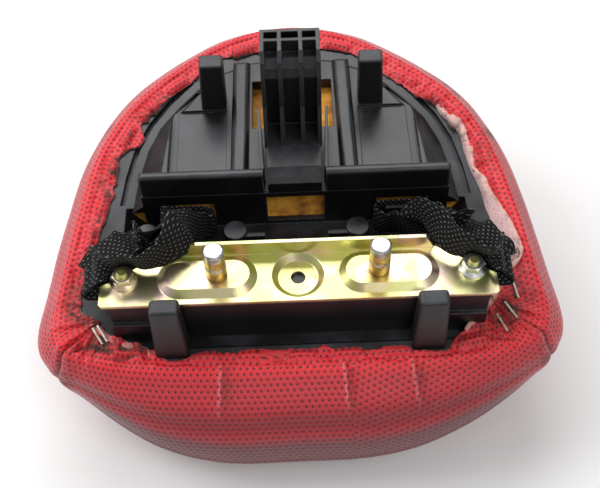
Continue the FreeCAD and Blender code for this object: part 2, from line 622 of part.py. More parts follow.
dish_cut = poly_sketch(bracket, "dish_top", "XZ_Plane", [(0.0, "-dish_depth"), ("dish_flat", "-dish_depth"), ("dish_radius", 0.0), ("dish_radius", 1.0), (0.0, 1.0)])
revolve(bracket, dish_cut, "dish", cut=True)


def oval_sketch(body, name, centre, half, radius, offset):
    """Stadium outline: straight sides along X with half-round ends."""
    sketch = body.newObject("Sketcher::SketchObject", name)
    attach(body, sketch, "XY_Plane", offset)
    run = half - radius
    sketch.addGeometry(Part.LineSegment(Vector(centre - run, -radius, 0), Vector(centre + run, -radius, 0)), False)
    sketch.addGeometry(Part.ArcOfCircle(Part.Circle(Vector(centre + run, 0, 0), Vector(0, 0, 1), radius), -math.pi / 2, math.pi / 2), False)
    sketch.addGeometry(Part.LineSegment(Vector(centre + run, radius, 0), Vector(centre - run, radius, 0)), False)
    sketch.addGeometry(Part.ArcOfCircle(Part.Circle(Vector(centre - run, 0, 0), Vector(0, 0, 1), radius), math.pi / 2, 3 * math.pi / 2), False)
    for a, b in ((0, 1), (1, 2), (2, 3), (3, 0)):
        sketch.addConstraint(Sketcher.Constraint("Coincident", a, 2, b, 1))
    return sketch


slope = math.degrees(math.atan2(D["oval_slope"], D["oval_rise"]))
for side, sign in (("right", 1), ("left", -1)):
    raised = oval_sketch(bracket, "oval_outline_" + side, sign * D["oval_x"], D["oval_half"], D["oval_radius"], -0.001)
    pad(bracket, raised, "oval_" + side, "oval_rise", taper=-slope)
doc.recompute()
if bracket.Shape.BoundBox.YMax > D["plate_rear"] + 0.01 or bracket.Shape.BoundBox.XMax > D["plate_half"] + 0.01:
    raise RuntimeError("oval slopes the wrong way")
for side, sign in (("right", 1), ("left", -1)):
    hollow = oval_sketch(bracket, "oval_under_outline_" + side, sign * D["oval_x"], D["oval_half"] - 4.2, D["oval_radius"] - 4.2, -2.1)
    pocket(bracket, hollow, "oval_hollow_" + side, 3.1, reverse=True)
holes = circle_sketch(bracket, "bolt_holes", "XY_Plane", [("nut_x", 0.0, "bolt_hole"), ("-nut_x", 0.0, "bolt_hole"), (0.0, 0.0, "dish_hole"),
                                                          ("pin_x", 0.0, "pin_shank"), ("-pin_x", 0.0, "pin_shank")])
before = None
doc.recompute()
before = bracket.Shape.Volume
pocket(bracket, holes, "holes", 20.0, midplane=True)
bracket.Placement = SHIFT
doc.recompute()
if bracket.Shape.Volume > before - 300:
    raise RuntimeError("bracket holes cut nothing")

# ---------------------------------------------------------------- latch pins
for side, sign in (("right", 1), ("left", -1)):
    pin = new_body("lock_pin_" + side)
    outline = poly_sketch(pin, "pin_outline_" + side, "XZ_Plane", [
        (0.0, -1.2), ("pin_head-1", -1.2), ("pin_head", -0.4), ("pin_head", 1.0), ("pin_shank", 1.0), ("pin_shank", "oval_rise"), ("pin_radius", "oval_rise"),
        ("pin_radius", "pin_groove_low"), ("pin_groove_radius", "pin_groove_low+0.6"), ("pin_groove_radius", "pin_groove_high-0.6"), ("pin_radius", "pin_groove_high"),
        ("pin_radius", "pin_top-pin_chamfer"), ("pin_radius-pin_chamfer", "pin_top"), (0.0, "pin_top")])
    revolve(pin, outline, "pin_" + side)
    pin.Placement = Placement(SHIFT.Base + Vector(sign * D["pin_x"], 0, 0), Rotation())

# ---------------------------------------------------------------- M6 bolts and flange nuts


def hexagon(flats):
    radius = flats / math.sqrt(3)
    return [(radius * math.cos(math.radians(60 * k + 30)), radius * math.sin(math.radians(60 * k + 30))) for k in range(6)]


for side, sign in (("right", 1), ("left", -1)):
    bolt = new_body("bracket_bolt_" + side)
    shank = poly_sketch(bolt, "bolt_outline_" + side, "XZ_Plane", [
        (0.0, "box_top-2.5-bolt_head_thick"), (4.4, "box_top-2.5-bolt_head_thick"), (4.4, "box_top-2.5"), ("bolt_radius", "box_top-2.5"),
        ("bolt_radius", "bolt_end-0.6"), ("bolt_radius-0.6", "bolt_end"), (0.0, "bolt_end")])
    revolve(bolt, shank, "bolt_shank_" + side)
    head = poly_sketch(bolt, "bolt_head_outline_" + side, "XY_Plane", hexagon(D["bolt_head_flats"]), value_of("box_top-2.5-bolt_head_thick"))
    pad(bolt, head, "bolt_head_" + side, "bolt_head_thick")
    bolt.Placement = Placement(SHIFT.Base + Vector(sign * D["nut_x"], 0, 0), Rotation())

    nut = new_body("flange_nut_" + side)
    hexa = poly_sketch(nut, "nut_hexagon_" + side, "XY_Plane", hexagon(D["nut_flats"]))
    pad(nut, hexa, "nut_body_" + side, "nut_height")
    skirt = poly_sketch(nut, "nut_skirt_outline_" + side, "XZ_Plane", [
        (0.0, 0.0), ("nut_flange_radius", 0.0), ("nut_flange_radius", "nut_flange_thick-0.4"), (5.2, 2.6), (0.0, 2.6)])
    revolve(nut, skirt, "nut_skirt_" + side)
    crown = poly_sketch(nut, "nut_crown_outline_" + side, "XZ_Plane", [(5.0, "nut_height+0.1"), (5.0, "nut_height-0.15"), (6.5, "nut_height-1"), (6.5, "nut_height+0.1")])
    revolve(nut, crown, "nut_crown_" + side, cut=True)
    bore = circle_sketch(nut, "nut_bore_outline_" + side, "XY_Plane", [(0.0, 0.0, "nut_bore")])
    pocket(nut, bore, "nut_bore_" + side, 40.0, midplane=True)
    nut.Placement = Placement(SHIFT.Base + Vector(sign * D["nut_x"], 0, 0), Rotation(Vector(0, 0, 1), 18 * sign))

# ---------------------------------------------------------------- stand-off blocks


def block(label, x, low_box, high_box, low_z, high_z, top_radius):
    """Tapered rubber block with rounded upright and top edges."""
    low = Part.makePolygon([Vector(a, b, low_z) for a, b in low_box + low_box[:1]])
    high = Part.makePolygon([Vector(a, b, high_z) for a, b in high_box + high_box[:1]])
    raw = feature(label + "_raw", loft([low, high], True))
    doc.recompute()
    uprights = fillet(label + "_uprights", raw, lambda e: abs(e.Vertexes[0].Point.z - e.Vertexes[1].Point.z) > 5, top_radius)
    doc.recompute()
    top = fillet(label, uprights, lambda e: abs(edge_mid(e).z - high_z) < 1e-3, top_radius * 0.8)
    top.Label = label
    top.Placement = Placement(SHIFT.Base + Vector(x, 0, 0), Rotation())
    return top


for side, sign in (("right", 1), ("left", -1)):
    whole_block = block("front_block_" + side, sign * D["front_block_x"],
                        [(-9.2, -30.6), (9.2, -30.6), (9.2, -17.6), (-9.2, -17.6)], [(-7.5, -27.0), (7.5, -27.0), (7.5, -17.8), (-7.5, -17.8)],
                        D["floor_z"], D["front_block_top"], 2.2)
    # the foot is moulded to the tray it stands in
    whole_block.Label = "front_block_" + side
    doc.recompute()
    pieces = whole_block.Shape.cut(seat_pan.Shape).cut(bracket_box.Shape).Solids
    seated = feature("front_bumper_" + side, max(pieces, key=lambda piece: piece.Volume))
    seated.Label = "front_bumper_" + side
    block("rear_bumper_" + side, sign * D["rear_block_x"],
          [(-7.3, 119.8), (7.3, 119.8), (7.3, 131.6), (-7.3, 131.6)], [(-6.8 - sign * 1.0, 120.2), (6.8 - sign * 1.0, 120.2), (6.8 - sign * 1.0, 130.2), (-6.8 - sign * 1.0, 130.2)],
          D["deck_z"], D["rear_block_top"], 1.8)

# ---------------------------------------------------------------- foam
above = plan_prism(inset(T_LINE, 4.6), D["flange_top"] - D["flange_thick"] - 0.15, 40.0)
keep = deck_solid(3.3, D["deck_z"] - D["deck_thick"] - 0.3, -6.0, D["cross_wall_front"] + 3.4)
pocket_room = pocket_solid(D["wall_thick"] + 0.3, D["floor_z"] - D["wall_thick"] - 0.3, D["flange_top"])
wall_room = Part.makeBox(2 * D["cross_wall_half"] + 1, 3.4 + 60, 30, Vector(-D["cross_wall_half"] - 0.5, -3.0, D["floor_z"] - 1.3))
foam_solid = foam_shape.cut(above.cut(keep)).cut(pocket_room.cut(Part.makeBox(400, 200, 200, Vector(-200, D["cross_wall_front"] + 3.4, -150))))
# foam stays behind the lower cross wall
wall_slab = Part.makeBox(2 * D["cross_wall_half"] + 1.2, D["cross_wall_thick"] + 0.6, 60, Vector(-D["cross_wall_half"] - 0.6, D["cross_wall_front"] - 0.3, D["floor_z"] - 1.3))
foam_solid = foam_solid.cut(wall_slab)
foam = feature("foam_cushion", foam_solid)
foam.Label = "foam_cushion"
foam.Placement = SHIFT

# ---------------------------------------------------------------- cover panels
FLAP = [(0, -30), (45, -29.6), (80, -28), (97.5, -21), (102.5, -8), (109, 4), (114, 22), (110.5, 42), (104.5, 66), (99.5, 90), (92.5, 108),
        (77.5, 128), (60, 144), (43, 158), (24, 163.8), (10, 165), (0, 165.3)]
skin = outer_shape.cut(inner_shape).cut(plan_prism(FLAP, 0.0, 30.0))
seam_pts = [Vector(-200, -120, -97)] + [Vector(-200, y, z) for y, z in SEAM] + [Vector(-200, 260, -22), Vector(-200, 260, -160), Vector(-200, -120, -160)]
below_seam = Part.Face(Part.makePolygon(seam_pts + [seam_pts[0]])).extrude(Vector(400, 0, 0))
front_zone = polygon_prism([(-170, -66), (-118, -21), (-104, -6), (104, -6), (118, -21), (170, -66), (170, -140), (-170, -140)], -150, 60)
for sign in (1, -1):
    # the flap is cut away round the foot of each front block
    skin = skin.cut(Part.makeBox(19.6, 20, 30, Vector(sign * D["front_block_x"] - 9.8, -31.2, -40)))
for label, shape in (("cover_top", skin.common(below_seam)),
                     ("cover_front", skin.cut(below_seam).common(front_zone)),
                     ("cover_side_band", skin.cut(below_seam).cut(front_zone))):
    panel = feature(label, shape)
    panel.Label = label
    panel.Placement = SHIFT

# ---------------------------------------------------------------- staples
STAPLES = [(-50, -31.4, 0), (-25, -31.5, 3), (0, -31.5, -2), (25, -31.5, 3), (50, -31.4, 0), (90, -27.2, 12), (-90, -27.2, -12),
           (-107.5, -17.0, -58), (-105.0, -15.6, -58), (107, -17.5, -66), (112.5, -10.5, -60), (116.5, 1.5, -80),
           (-117, 16, -85), (117.5, 22, 88), (115, 40, 98), (-115, 40, -98), (109.5, 62, 100), (-109.5, 62, -100),
           (104.5, 86, 104), (-104.5, 86, -104), (97.5, 106, 118), (-97.5, 106, -118), (85, 124, 133), (-85, 124, -133), (69, 141, 140), (-69, 141, -140),
           (50, 157, 152), (-50, 157, -152), (28, 167, 164), (-28, 167, -164), (8, 171, 178), (-10, 171, -176)]
staple_solids = []
for x, y, turn in STAPLES:
    crown_bar = Part.makeBox(11.0, 1.2, 0.6, Vector(-5.5, -0.6, 0.0))
    leg_a = Part.makeBox(0.7, 1.2, 4.0, Vector(-5.5, -0.6, -4.0))
    leg_b = Part.makeBox(0.7, 1.2, 4.0, Vector(4.8, -0.6, -4.0))
    staple = crown_bar.fuse([leg_a, leg_b]).removeSplitter()
    staple.Placement = Placement(Vector(x, y, rim(y) + 2 * thick + 0.05), Rotation(Vector(1, 0, 0), math.degrees(math.atan(D["rim_rise"]))) * Rotation(Vector(0, 0, 1), turn))
    staple_solids.append(staple)
staples = feature("cover_staples", Part.makeCompound(staple_solids))
staples.Label = "cover_staples"
staples.Placement = SHIFT

# ---------------------------------------------------------------- webbing straps


def ribbon(stations, width, thickness):
    """Closed solid of webbing, in flat facets, through stations of (centre, width direction, face normal)."""
    fine = []
    for (c0, a0, n0), (c1, a1, n1) in zip(stations, stations[1:]):
        for k in (0, 1, 2):
            t = k / 3.0
            across = (Vector(*a0) * (1 - t) + Vector(*a1) * t).normalize()
            normal = Vector(*n0) * (1 - t) + Vector(*n1) * t
            normal = (normal - across * normal.dot(across)).normalize()
            fine.append((Vector(*c0) * (1 - t) + Vector(*c1) * t, across, normal))
    c0, a0, n0 = stations[-1]
    fine.append((Vector(*c0), Vector(*a0).normalize(), Vector(*n0).normalize()))
    rings = []
    for c, across, normal in fine:
        a = across * (width / 2.0)
        n = normal * (thickness / 2.0)
        rings.append([c - a - n, c + a - n, c + a + n, c - a + n])
    outlines = [rings[0][::-1], rings[-1]]
    for low, high in zip(rings, rings[1:]):
        for k in range(4):
            j = (k + 1) % 4
            outlines.append([low[k], low[j], high[j]])
            outlines.append([low[k], high[j], high[k]])
    for order in (1, -1):
        faces = [Part.Face(Part.makePolygon(o[::order] + [o[::order][0]])) for o in outlines]
        shell = Part.makeShell(faces)
        shell.sewShape()
        solid = Part.makeSolid(shell)
        if solid.Volume > 0:
            break
    return solid


# Loops, station by station: near leg out of the fold, over the plate, down behind the tab, far leg back to the fold.
# The two hang a little differently.
LOOP_RIGHT = [
    ((106.2, 4.0, 3.3), (0.00, 1.00, 0.00), (-0.92, 0.00, -0.40)),
    ((102.8, 2.6, 11.2), (0.00, 0.60, 0.80), (-0.72, 0.55, -0.41)),
    ((98.4, 0.8, 12.7), (0.03, -0.34, 0.94), (0.21, 0.92, 0.33)),
    ((91.0, 4.8, 12.6), (0.01, -0.34, 0.94), (0.30, 0.90, 0.32)),
    ((84.7, 4.7, 14.4), (0.14, -0.03, 0.99), (0.37, 0.93, -0.02)),
    ((77.4, 10.3, 15.0), (0.30, 0.09, 0.95), (0.69, 0.67, -0.28)),
    ((73.8, 16.5, 15.6), (0.38, 0.05, 0.92), (0.79, 0.50, -0.35)),
    ((67.5, 25.0, 13.5), (0.20, -0.10, 0.97), (0.88, 0.45, -0.14)),
    ((62.3, 33.0, -4.6), (0.06, -0.32, 0.94), (0.53, 0.81, 0.24)),
    ((55.0, 42.9, -18.8), (-0.04, -0.21, 0.98), (0.51, 0.83, 0.20)),
    ((48.3, 45.2, -19.6), (0.00, -0.10, 1.00), (0.45, 0.89, 0.09)),
    ((44.0, 48.6, -20.2), (0.00, 0.00, 1.00), (0.90, 0.44, 0.00)),
    ((45.0, 52.0, -20.6), (0.00, 0.00, 1.00), (0.71, -0.71, 0.00)),
    ((48.6, 53.2, -21.0), (0.00, 0.00, 1.00), (0.05, -1.00, 0.00)),
    ((70.8, 53.2, -20.2), (0.00, 0.00, 1.00), (-0.06, -1.00, 0.00)),
    ((74.3, 51.6, -19.4), (0.00, 0.08, 1.00), (-0.72, -0.69, 0.06)),
    ((75.2, 48.8, -17.8), (-0.05, -0.22, 0.97), (-0.72, -0.67, -0.19)),
    ((77.5, 46.4, -13.0), (-0.13, -0.58, 0.80), (-0.12, -0.80, -0.59)),
    ((81.6, 39.6, -5.6), (-0.14, -0.57, 0.81), (-0.47, -0.68, -0.56)),
    ((85.0, 29.2, 1.2), (0.02, -0.38, 0.92), (-0.78, -0.59, -0.23)),
    ((88.5, 27.8, 1.2), (0.22, 0.36, 0.91), (0.03, -0.93, 0.36)),
    ((91.2, 27.8, -3.0), (0.36, 0.86, -0.35), (0.21, 0.29, 0.93)),
    ((96.1, 20.8, 1.6), (0.49, 0.87, -0.06), (-0.19, 0.17, 0.97)),
    ((101.4, 13.4, 1.7), (0.50, 0.86, -0.09), (0.05, 0.08, 1.00)),
    ((104.6, 8.6, 2.2), (0.40, 0.92, -0.02), (0.04, 0.00, 1.00)),
    ((106.2, 5.0, 1.5), (0.00, 1.00, 0.00), (0.40, 0.00, 0.92)),
]
LOOP_LEFT = [
    ((-106.2, 4.0, 3.3), (0.00, 1.00, 0.00), (-0.87, 0.00, 0.49)),
    ((-101.8, 3.8, 11.2), (0.00, 0.60, 0.80), (-0.51, -0.69, 0.52)),
    ((-94.9, 2.9, 13.0), (0.03, -0.26, 0.96), (0.08, -0.96, -0.26)),
    ((-88.1, 4.6, 12.7), (0.03, -0.36, 0.93), (-0.05, -0.93, -0.36)),
    ((-80.5, 2.2, 12.6), (-0.04, -0.26, 0.96), (0.04, -0.96, -0.26)),
    ((-72.6, 5.0, 13.5), (-0.14, -0.09, 0.99), (0.41, -0.91, -0.03)),
    ((-65.8, 8.7, 14.1), (-0.28, 0.03, 0.96), (0.44, -0.89, 0.16)),
    ((-62.5, 10.5, 17.5), (-0.45, 0.10, 0.89), (0.65, -0.64, 0.40)),
    ((-59.5, 18.2, 19.9), (-0.60, 0.26, 0.76), (0.79, 0.00, 0.62)),
    ((-57.0, 25.5, 9.5), (-0.20, -0.10, 0.97), (0.98, 0.01, 0.20)),
    ((-54.1, 35.3, -8.1), (-0.05, -0.15, 0.99), (0.93, -0.36, 0.00)),
    ((-49.5, 45.6, -20.5), (-0.05, 0.00, 1.00), (0.86, -0.50, 0.04)),
    ((-45.9, 48.4, -20.5), (0.00, 0.00, 1.00), (0.86, -0.50, 0.00)),
    ((-46.1, 51.4, -20.8), (0.00, 0.00, 1.00), (0.82, 0.58, 0.00)),
    ((-49.3, 53.2, -21.0), (0.00, 0.00, 1.00), (0.07, 1.00, 0.00)),
    ((-70.8, 53.2, -20.2), (0.00, 0.00, 1.00), (-0.06, 1.00, 0.00)),
    ((-74.3, 51.6, -19.4), (0.00, 0.08, 1.00), (-0.76, 0.64, -0.05)),
    ((-75.0, 48.4, -18.0), (0.05, -0.22, 0.97), (-0.99, 0.12, 0.08)),
    ((-74.7, 43.8, -12.6), (0.14, -0.57, 0.81), (-0.77, 0.45, 0.45)),
    ((-77.0, 33.2, -4.9), (0.15, -0.56, 0.81), (-0.63, 0.58, 0.52)),
    ((-78.9, 23.1, 5.4), (0.18, -0.27, 0.94), (-0.59, 0.74, 0.33)),
    ((-82.5, 25.5, 1.8), (-0.05, 0.40, 0.91), (0.58, 0.76, -0.30)),
    ((-86.3, 26.0, -1.5), (-0.16, 0.94, -0.30), (0.08, -0.29, -0.95)),
    ((-91.6, 20.4, 2.6), (-0.28, 0.96, -0.04), (-0.23, -0.11, -0.97)),
    ((-97.4, 16.5, 2.2), (-0.32, 0.94, -0.07), (0.09, -0.05, -1.00)),
    ((-102.4, 11.6, 2.1), (-0.33, 0.94, -0.02), (0.07, 0.00, -1.00)),
    ((-106.2, 5.0, 1.5), (0.00, 1.00, 0.00), (0.16, 0.00, -0.99)),
]


for side, sign in (("right", 1), ("left", -1)):
    loop = feature("strap_loop_" + side, ribbon(LOOP_RIGHT if sign > 0 else LOOP_LEFT, D["strap_width"], D["strap_thick"]))
    loop.Label = "strap_loop_" + side
    loop.Placement = SHIFT
    # clamped tail: lies under the plate, turns up round its end
    tail_profile = [(78.0, -5.15), (106.6, -5.15), (109.2, -4.2), (110.2, -2.4), (110.2, -1.0), (109.2, 0.3), (107.0, 0.45),
                    (105.0, 0.2), (103.4, -0.9), (103.0, -2.05), (78.0, -2.05)]
    pts = [Vector(sign * x, -9.0, z) for x, z in tail_profile]
    tail_solid = Part.Face(Part.makePolygon(pts + [pts[0]])).extrude(Vector(0, 20.0, 0))
    tail_solid = tail_solid.cut(Part.makeCylinder(3.3, 12, Vector(sign * D["nut_x"], 0, -9)))
    tail = feature("strap_tail_" + side, tail_solid)
    tail.Label = "strap_tail_" + side
    tail.Placement = SHIFT

doc.recompute()

# ---------------------------------------------------------------- checks and export
NODES = ["seat_pan", "bracket_box", "cross_wall_left", "cross_wall_right", "rear_tongue", "foam_cushion", "cover_top", "cover_front", "cover_side_band", "cover_staples",
         "lock_bracket", "lock_pin_left", "lock_pin_right", "bracket_bolt_left", "bracket_bolt_right",
         "flange_nut_left", "flange_nut_right", "front_bumper_left", "front_bumper_right", "rear_bumper_left", "rear_bumper_right",
         "strap_tail_left", "strap_tail_right", "strap_loop_left", "strap_loop_right"]
faults = []
for obj in doc.Objects:
    if "Invalid" in obj.State or "Error" in obj.State:
        faults.append("%s: %s" % (obj.Name, obj.State))
shapes = {}
for label in NODES:
    found = [o for o in doc.Objects if o.Label == label]
    if len(found) != 1:
        faults.append("%s: %d objects" % (label, len(found)))
        continue
    shape = found[0].Shape
    if shape.isNull() or not shape.isValid():
        faults.append("%s: bad shape" % label)
        continue
    shapes[label] = shape
if faults:
    raise RuntimeError("; ".join(faults))
os.makedirs("parts", exist_ok=True)
whole = FreeCAD.BoundBox()
for label, shape in shapes.items():
    shape.exportStep("parts/%s.step" % label)
    b = shape.optimalBoundingBox(False, False)
    whole.add(b)
    print("%-20s solids %2d volume %10.1f  x %7.1f %7.1f  y %7.1f %7.1f  z %7.1f %7.1f" % (
        label, len(shape.Solids), shape.Volume, b.XMin, b.XMax, b.YMin, b.YMax, b.ZMin, b.ZMax))
print("whole x %.2f %.2f y %.2f %.2f z %.2f %.2f" % (whole.XMin, whole.XMax, whole.YMin, whole.YMax, whole.ZMin, whole.ZMax))
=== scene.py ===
import math

import bpy
import numpy as np
from mathutils import Matrix, Vector


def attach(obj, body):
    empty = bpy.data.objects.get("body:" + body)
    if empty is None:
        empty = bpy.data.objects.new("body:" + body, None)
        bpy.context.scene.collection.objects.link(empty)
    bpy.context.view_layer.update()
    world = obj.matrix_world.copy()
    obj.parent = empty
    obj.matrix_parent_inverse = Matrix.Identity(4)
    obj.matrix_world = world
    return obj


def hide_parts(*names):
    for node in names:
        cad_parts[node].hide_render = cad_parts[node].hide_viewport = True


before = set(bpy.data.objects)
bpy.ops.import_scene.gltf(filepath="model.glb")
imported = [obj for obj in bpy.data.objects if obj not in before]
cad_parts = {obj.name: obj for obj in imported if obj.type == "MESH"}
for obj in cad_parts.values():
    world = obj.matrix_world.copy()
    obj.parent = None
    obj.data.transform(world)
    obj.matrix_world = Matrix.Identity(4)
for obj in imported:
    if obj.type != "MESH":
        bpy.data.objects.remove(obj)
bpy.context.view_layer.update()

scene = bpy.context.scene
rng = np.random.default_rng(7)

# Lengths below are in millimetres about the bracket datum (top of the plate, on the line of the nuts).
DATUM = np.array([0.0, -61.67, 104.0])


def m3(points):
    """Datum millimetres to metres in the part's frame."""
    return (np.asarray(points, float) + DATUM) / 1000.0


# ---------------------------------------------------------------- camera
AZ, EL, ROLL = 0.0011207, 0.975873, -0.0378167
back = Vector((math.sin(AZ) * math.cos(EL), -math.cos(AZ) * math.cos(EL), math.sin(EL)))
right = (-back).cross(Vector((0, 0, 1))).normalized()
up = right.cross(-back)
r2 = right * math.cos(ROLL) + up * math.sin(ROLL)
u2 = -right * math.sin(ROLL) + up * math.cos(ROLL)
eye = Vector((1.55879, 18.864877, 0.0)) + back * 527.577
eye = Vector(m3(tuple(eye)))
cam_data = bpy.data.cameras.new("camera")
cam_data.lens = 60.0
cam_data.sensor_width = 36.0
cam_data.clip_start = 0.01
cam = bpy.data.objects.new("camera", cam_data)
scene.collection.objects.link(cam)
cam.matrix_world = Matrix((
    (r2.x, u2.x, back.x, eye.x), (r2.y, u2.y, back.y, eye.y), (r2.z, u2.z, back.z, eye.z), (0, 0, 0, 1)))
scene.camera = cam
scene.view_settings.view_transform = "Standard"

# ---------------------------------------------------------------- stage and light
floor_mesh = bpy.data.meshes.new("floor")
floor_mesh.from_pydata([(-4, -4, -0.0006), (4, -4, -0.0006), (4, 4, -0.0006), (-4, 4, -0.0006)], [], [(0, 1, 2, 3)])
floor = bpy.data.objects.new("floor", floor_mesh)
scene.collection.objects.link(floor)
floor_mat = bpy.data.materials.new("floor_white")
floor_mat.use_nodes = True
floor_bsdf = floor_mat.node_tree.nodes["Principled BSDF"]
floor_bsdf.inputs["Base Color"].default_value = (0.93, 0.93, 0.93, 1)
floor_bsdf.inputs["Roughness"].default_value = 0.9
floor_bsdf.inputs["Specular IOR Level"].default_value = 0.1
floor_mesh.materials.append(floor_mat)

world = bpy.data.worlds.new("studio")
scene.world = world
world.use_nodes = True
world.node_tree.nodes["Background"].inputs["Color"].default_value = (1, 1, 1, 1)
world.node_tree.nodes["Background"].inputs["Strength"].default_value = 0.42


def area(name, at, aim, size, power, size_y=None, color=(1, 1, 1)):
    data = bpy.data.lights.new(name, "AREA")
    data.energy = power
    data.color = color
    data.size = size
    if size_y:
        data.shape = "RECTANGLE"
        data.size_y = size_y
    lamp = bpy.data.objects.new(name, data)
    scene.collection.objects.link(lamp)
    lamp.location = at
    lamp.rotation_euler = (Vector(aim) - Vector(at)).to_track_quat("-Z", "Y").to_euler()
    return lamp


area("light_back", (-0.12, 0.74, 1.08), (0, 0, 0.08), 1.15, 8.6, 0.5)
area("light_left", (-1.05, 0.25, 1.15), (0, 0, 0.08), 0.8, 10.0, 0.8)
area("light_front", (0.55, -0.75, 1.35), (0, 0, 0.06), 0.9, 5.5, 0.7)

# ---------------------------------------------------------------- node helpers


class Nodes:
    def __init__(self, name):
        self.mat = bpy.data.materials.new(name)
        self.mat.use_nodes = True
        self.tree = self.mat.node_tree
        self.bsdf = self.tree.nodes["Principled BSDF"]

    def add(self, kind, **settings):
        node = self.tree.nodes.new(kind)
        for key, value in settings.items():
            setattr(node, key, value)
        return node

    def link(self, a, b):
        self.tree.links.new(a, b)

    def put(self, socket, value):
        if hasattr(value, "is_linked") or hasattr(value, "links"):
            self.link(value, socket)
        else:
            socket.default_value = value

    def math(self, op, a, b=0.0, c=0.0, clamp=False):
        node = self.add("ShaderNodeMath", operation=op, use_clamp=clamp)
        self.put(node.inputs[0], a)
        self.put(node.inputs[1], b)
        self.put(node.inputs[2], c)
        return node.outputs[0]

    def vmath(self, op, a, b=(0, 0, 0)):
        node = self.add("ShaderNodeVectorMath", operation=op)
        self.put(node.inputs[0], a)
        self.put(node.inputs[1], b)
        return node.outputs["Value"] if op in ("LENGTH", "DOT_PRODUCT", "DISTANCE") else node.outputs["Vector"]

    def mix(self, factor, a, b, blend="MIX"):
        node = self.add("ShaderNodeMix", data_type="RGBA", blend_type=blend)
        self.put(node.inputs["Factor"], factor)
        self.put(node.inputs[6], a)
        self.put(node.inputs[7], b)
        return node.outputs[2]

    def mixf(self, factor, a, b):
        node = self.add("ShaderNodeMix", data_type="FLOAT")
        self.put(node.inputs["Factor"], factor)
        self.put(node.inputs[2], a)
        self.put(node.inputs[3], b)
        return node.outputs[0]

    def noise(self, vector, scale, detail=3.0, rough=0.55, distortion=0.0):
        node = self.add("ShaderNodeTexNoise")
        self.put(node.inputs["Vector"], vector)
        node.inputs["Scale"].default_value = scale
        node.inputs["Detail"].default_value = detail
        node.inputs["Roughness"].default_value = rough
        node.inputs["Distortion"].default_value = distortion
        return node.outputs["Fac"]

    def ramp(self, value, stops, ease=False):
        node = self.add("ShaderNodeValToRGB")
        if ease:
            node.color_ramp.interpolation = "EASE"
        while len(node.color_ramp.elements) < len(stops):
            node.color_ramp.elements.new(0.5)
        for element, (pos, colour) in zip(node.color_ramp.elements, stops):
            element.position = pos
            element.color = colour if len(colour) == 4 else tuple(colour) + (1,)
        self.put(node.inputs["Fac"], value)
        return node.outputs["Color"]

    def step(self, value, low, high):
        node = self.add("ShaderNodeMapRange", interpolation_type="SMOOTHSTEP")
        self.put(node.inputs["Value"], value)
        node.inputs["From Min"].default_value = low
        node.inputs["From Max"].default_value = high
        return node.outputs["Result"]

    def attr(self, name):
        return self.add("ShaderNodeAttribute", attribute_name=name).outputs["Fac"]

    def position(self):
        """Position in the object's own frame, millimetres."""
        coord = self.add("ShaderNodeTexCoord").outputs["Object"]
        return self.vmath("SCALE", coord) if False else self.vmath("MULTIPLY", coord, (1000, 1000, 1000))

    def bump(self, height, distance, strength=1.0, normal=None):
        node = self.add("ShaderNodeBump")
        node.inputs["Strength"].default_value = strength
        node.inputs["Distance"].default_value = distance
        self.put(node.inputs["Height"], height)
        if normal is not None:
            self.link(normal, node.inputs["Normal"])
        return node.outputs["Normal"]

    def bevel(self, radius, samples=4):
        node = self.add("ShaderNodeBevel", samples=samples)
        node.inputs["Radius"].default_value = radius
        return node.outputs["Normal"]

    def set(self, **values):
        for key, value in values.items():
            self.put(self.bsdf.inputs[key.replace("_", " ")], value)


def edge_mask(n, radius, low=0.0, high=0.06):
    """1 near hard edges: how far the rounded normal leaves the true one."""
    rounded = n.bevel(radius, 4)
    true = n.add("ShaderNodeNewGeometry").outputs["Normal"]
    dot = n.vmath("DOT_PRODUCT", rounded, true)
    return n.step(n.math("SUBTRACT", 1.0, dot), low, high)


# ---------------------------------------------------------------- plastics and rubber


def plastic(name, base, rough, scuff_and_highlight=0.5, grain=0.00006, dust_sheen_amount=0.25):
    n = Nodes(name)
    pos = n.position()
    big = n.noise(pos, 0.035, 4.0, 0.6)
    fine = n.noise(pos, 0.9, 3.0, 0.6)
    streak_coord = n.vmath("MULTIPLY", pos, (0.05, 0.7, 0.7))
    streak = n.noise(streak_coord, 1.0, 4.0, 0.7)
    geo = n.add("ShaderNodeNewGeometry").outputs["Normal"]
    # upward faces get a paler bluish grey: dust, and a painted sheen of the glossy flat faces
    upward = n.step(n.vmath("DOT_PRODUCT", geo, (0, 0, 1)), 0.55, 0.98)
    dust_and_sheen = n.math("MULTIPLY", upward, n.math("MULTIPLY", n.step(big, 0.35, 0.75), dust_sheen_amount))
    # hard edges get a pale grey: scuffed plastic, and a painted highlight along the edges
    worn = n.math("MULTIPLY", edge_mask(n, 0.0011, 0.004, 0.10), n.math("MULTIPLY", n.step(fine, 0.42, 0.62), scuff_and_highlight))
    base4 = tuple(base) + (1,)
    light = (0.050, 0.054, 0.062, 1)
    scuff_highlight_grey = (0.17, 0.175, 0.18, 1)
    colour = n.mix(dust_and_sheen, base4, light)
    colour = n.mix(worn, colour, scuff_highlight_grey)
    n.set(Base_Color=colour)
    n.set(Roughness=n.math("ADD", n.math("MULTIPLY", big, 0.16), n.math("ADD", rough - 0.08, n.math("MULTIPLY", worn, 0.2))))
    height = n.math("ADD", n.math("MULTIPLY", fine, 0.6), n.math("MULTIPLY", streak, 0.5))
    n.link(n.bump(height, grain, 0.6, n.bevel(0.0009, 4)), n.bsdf.inputs["Normal"])
    n.bsdf.inputs["Specular IOR Level"].default_value = 0.5
    return n.mat


pan_mat = plastic("pan_black", (0.006, 0.006, 0.0075), 0.34, 0.45, 0.00006, 0.8)
wall_mat = plastic("wall_black", (0.006, 0.006, 0.0075), 0.36, 1.5, 0.00006, 0.8)
rubber_mat = plastic("block_black", (0.007, 0.007, 0.008), 0.46, 0.7, 0.00009, 1.0)

# ---------------------------------------------------------------- plated metals


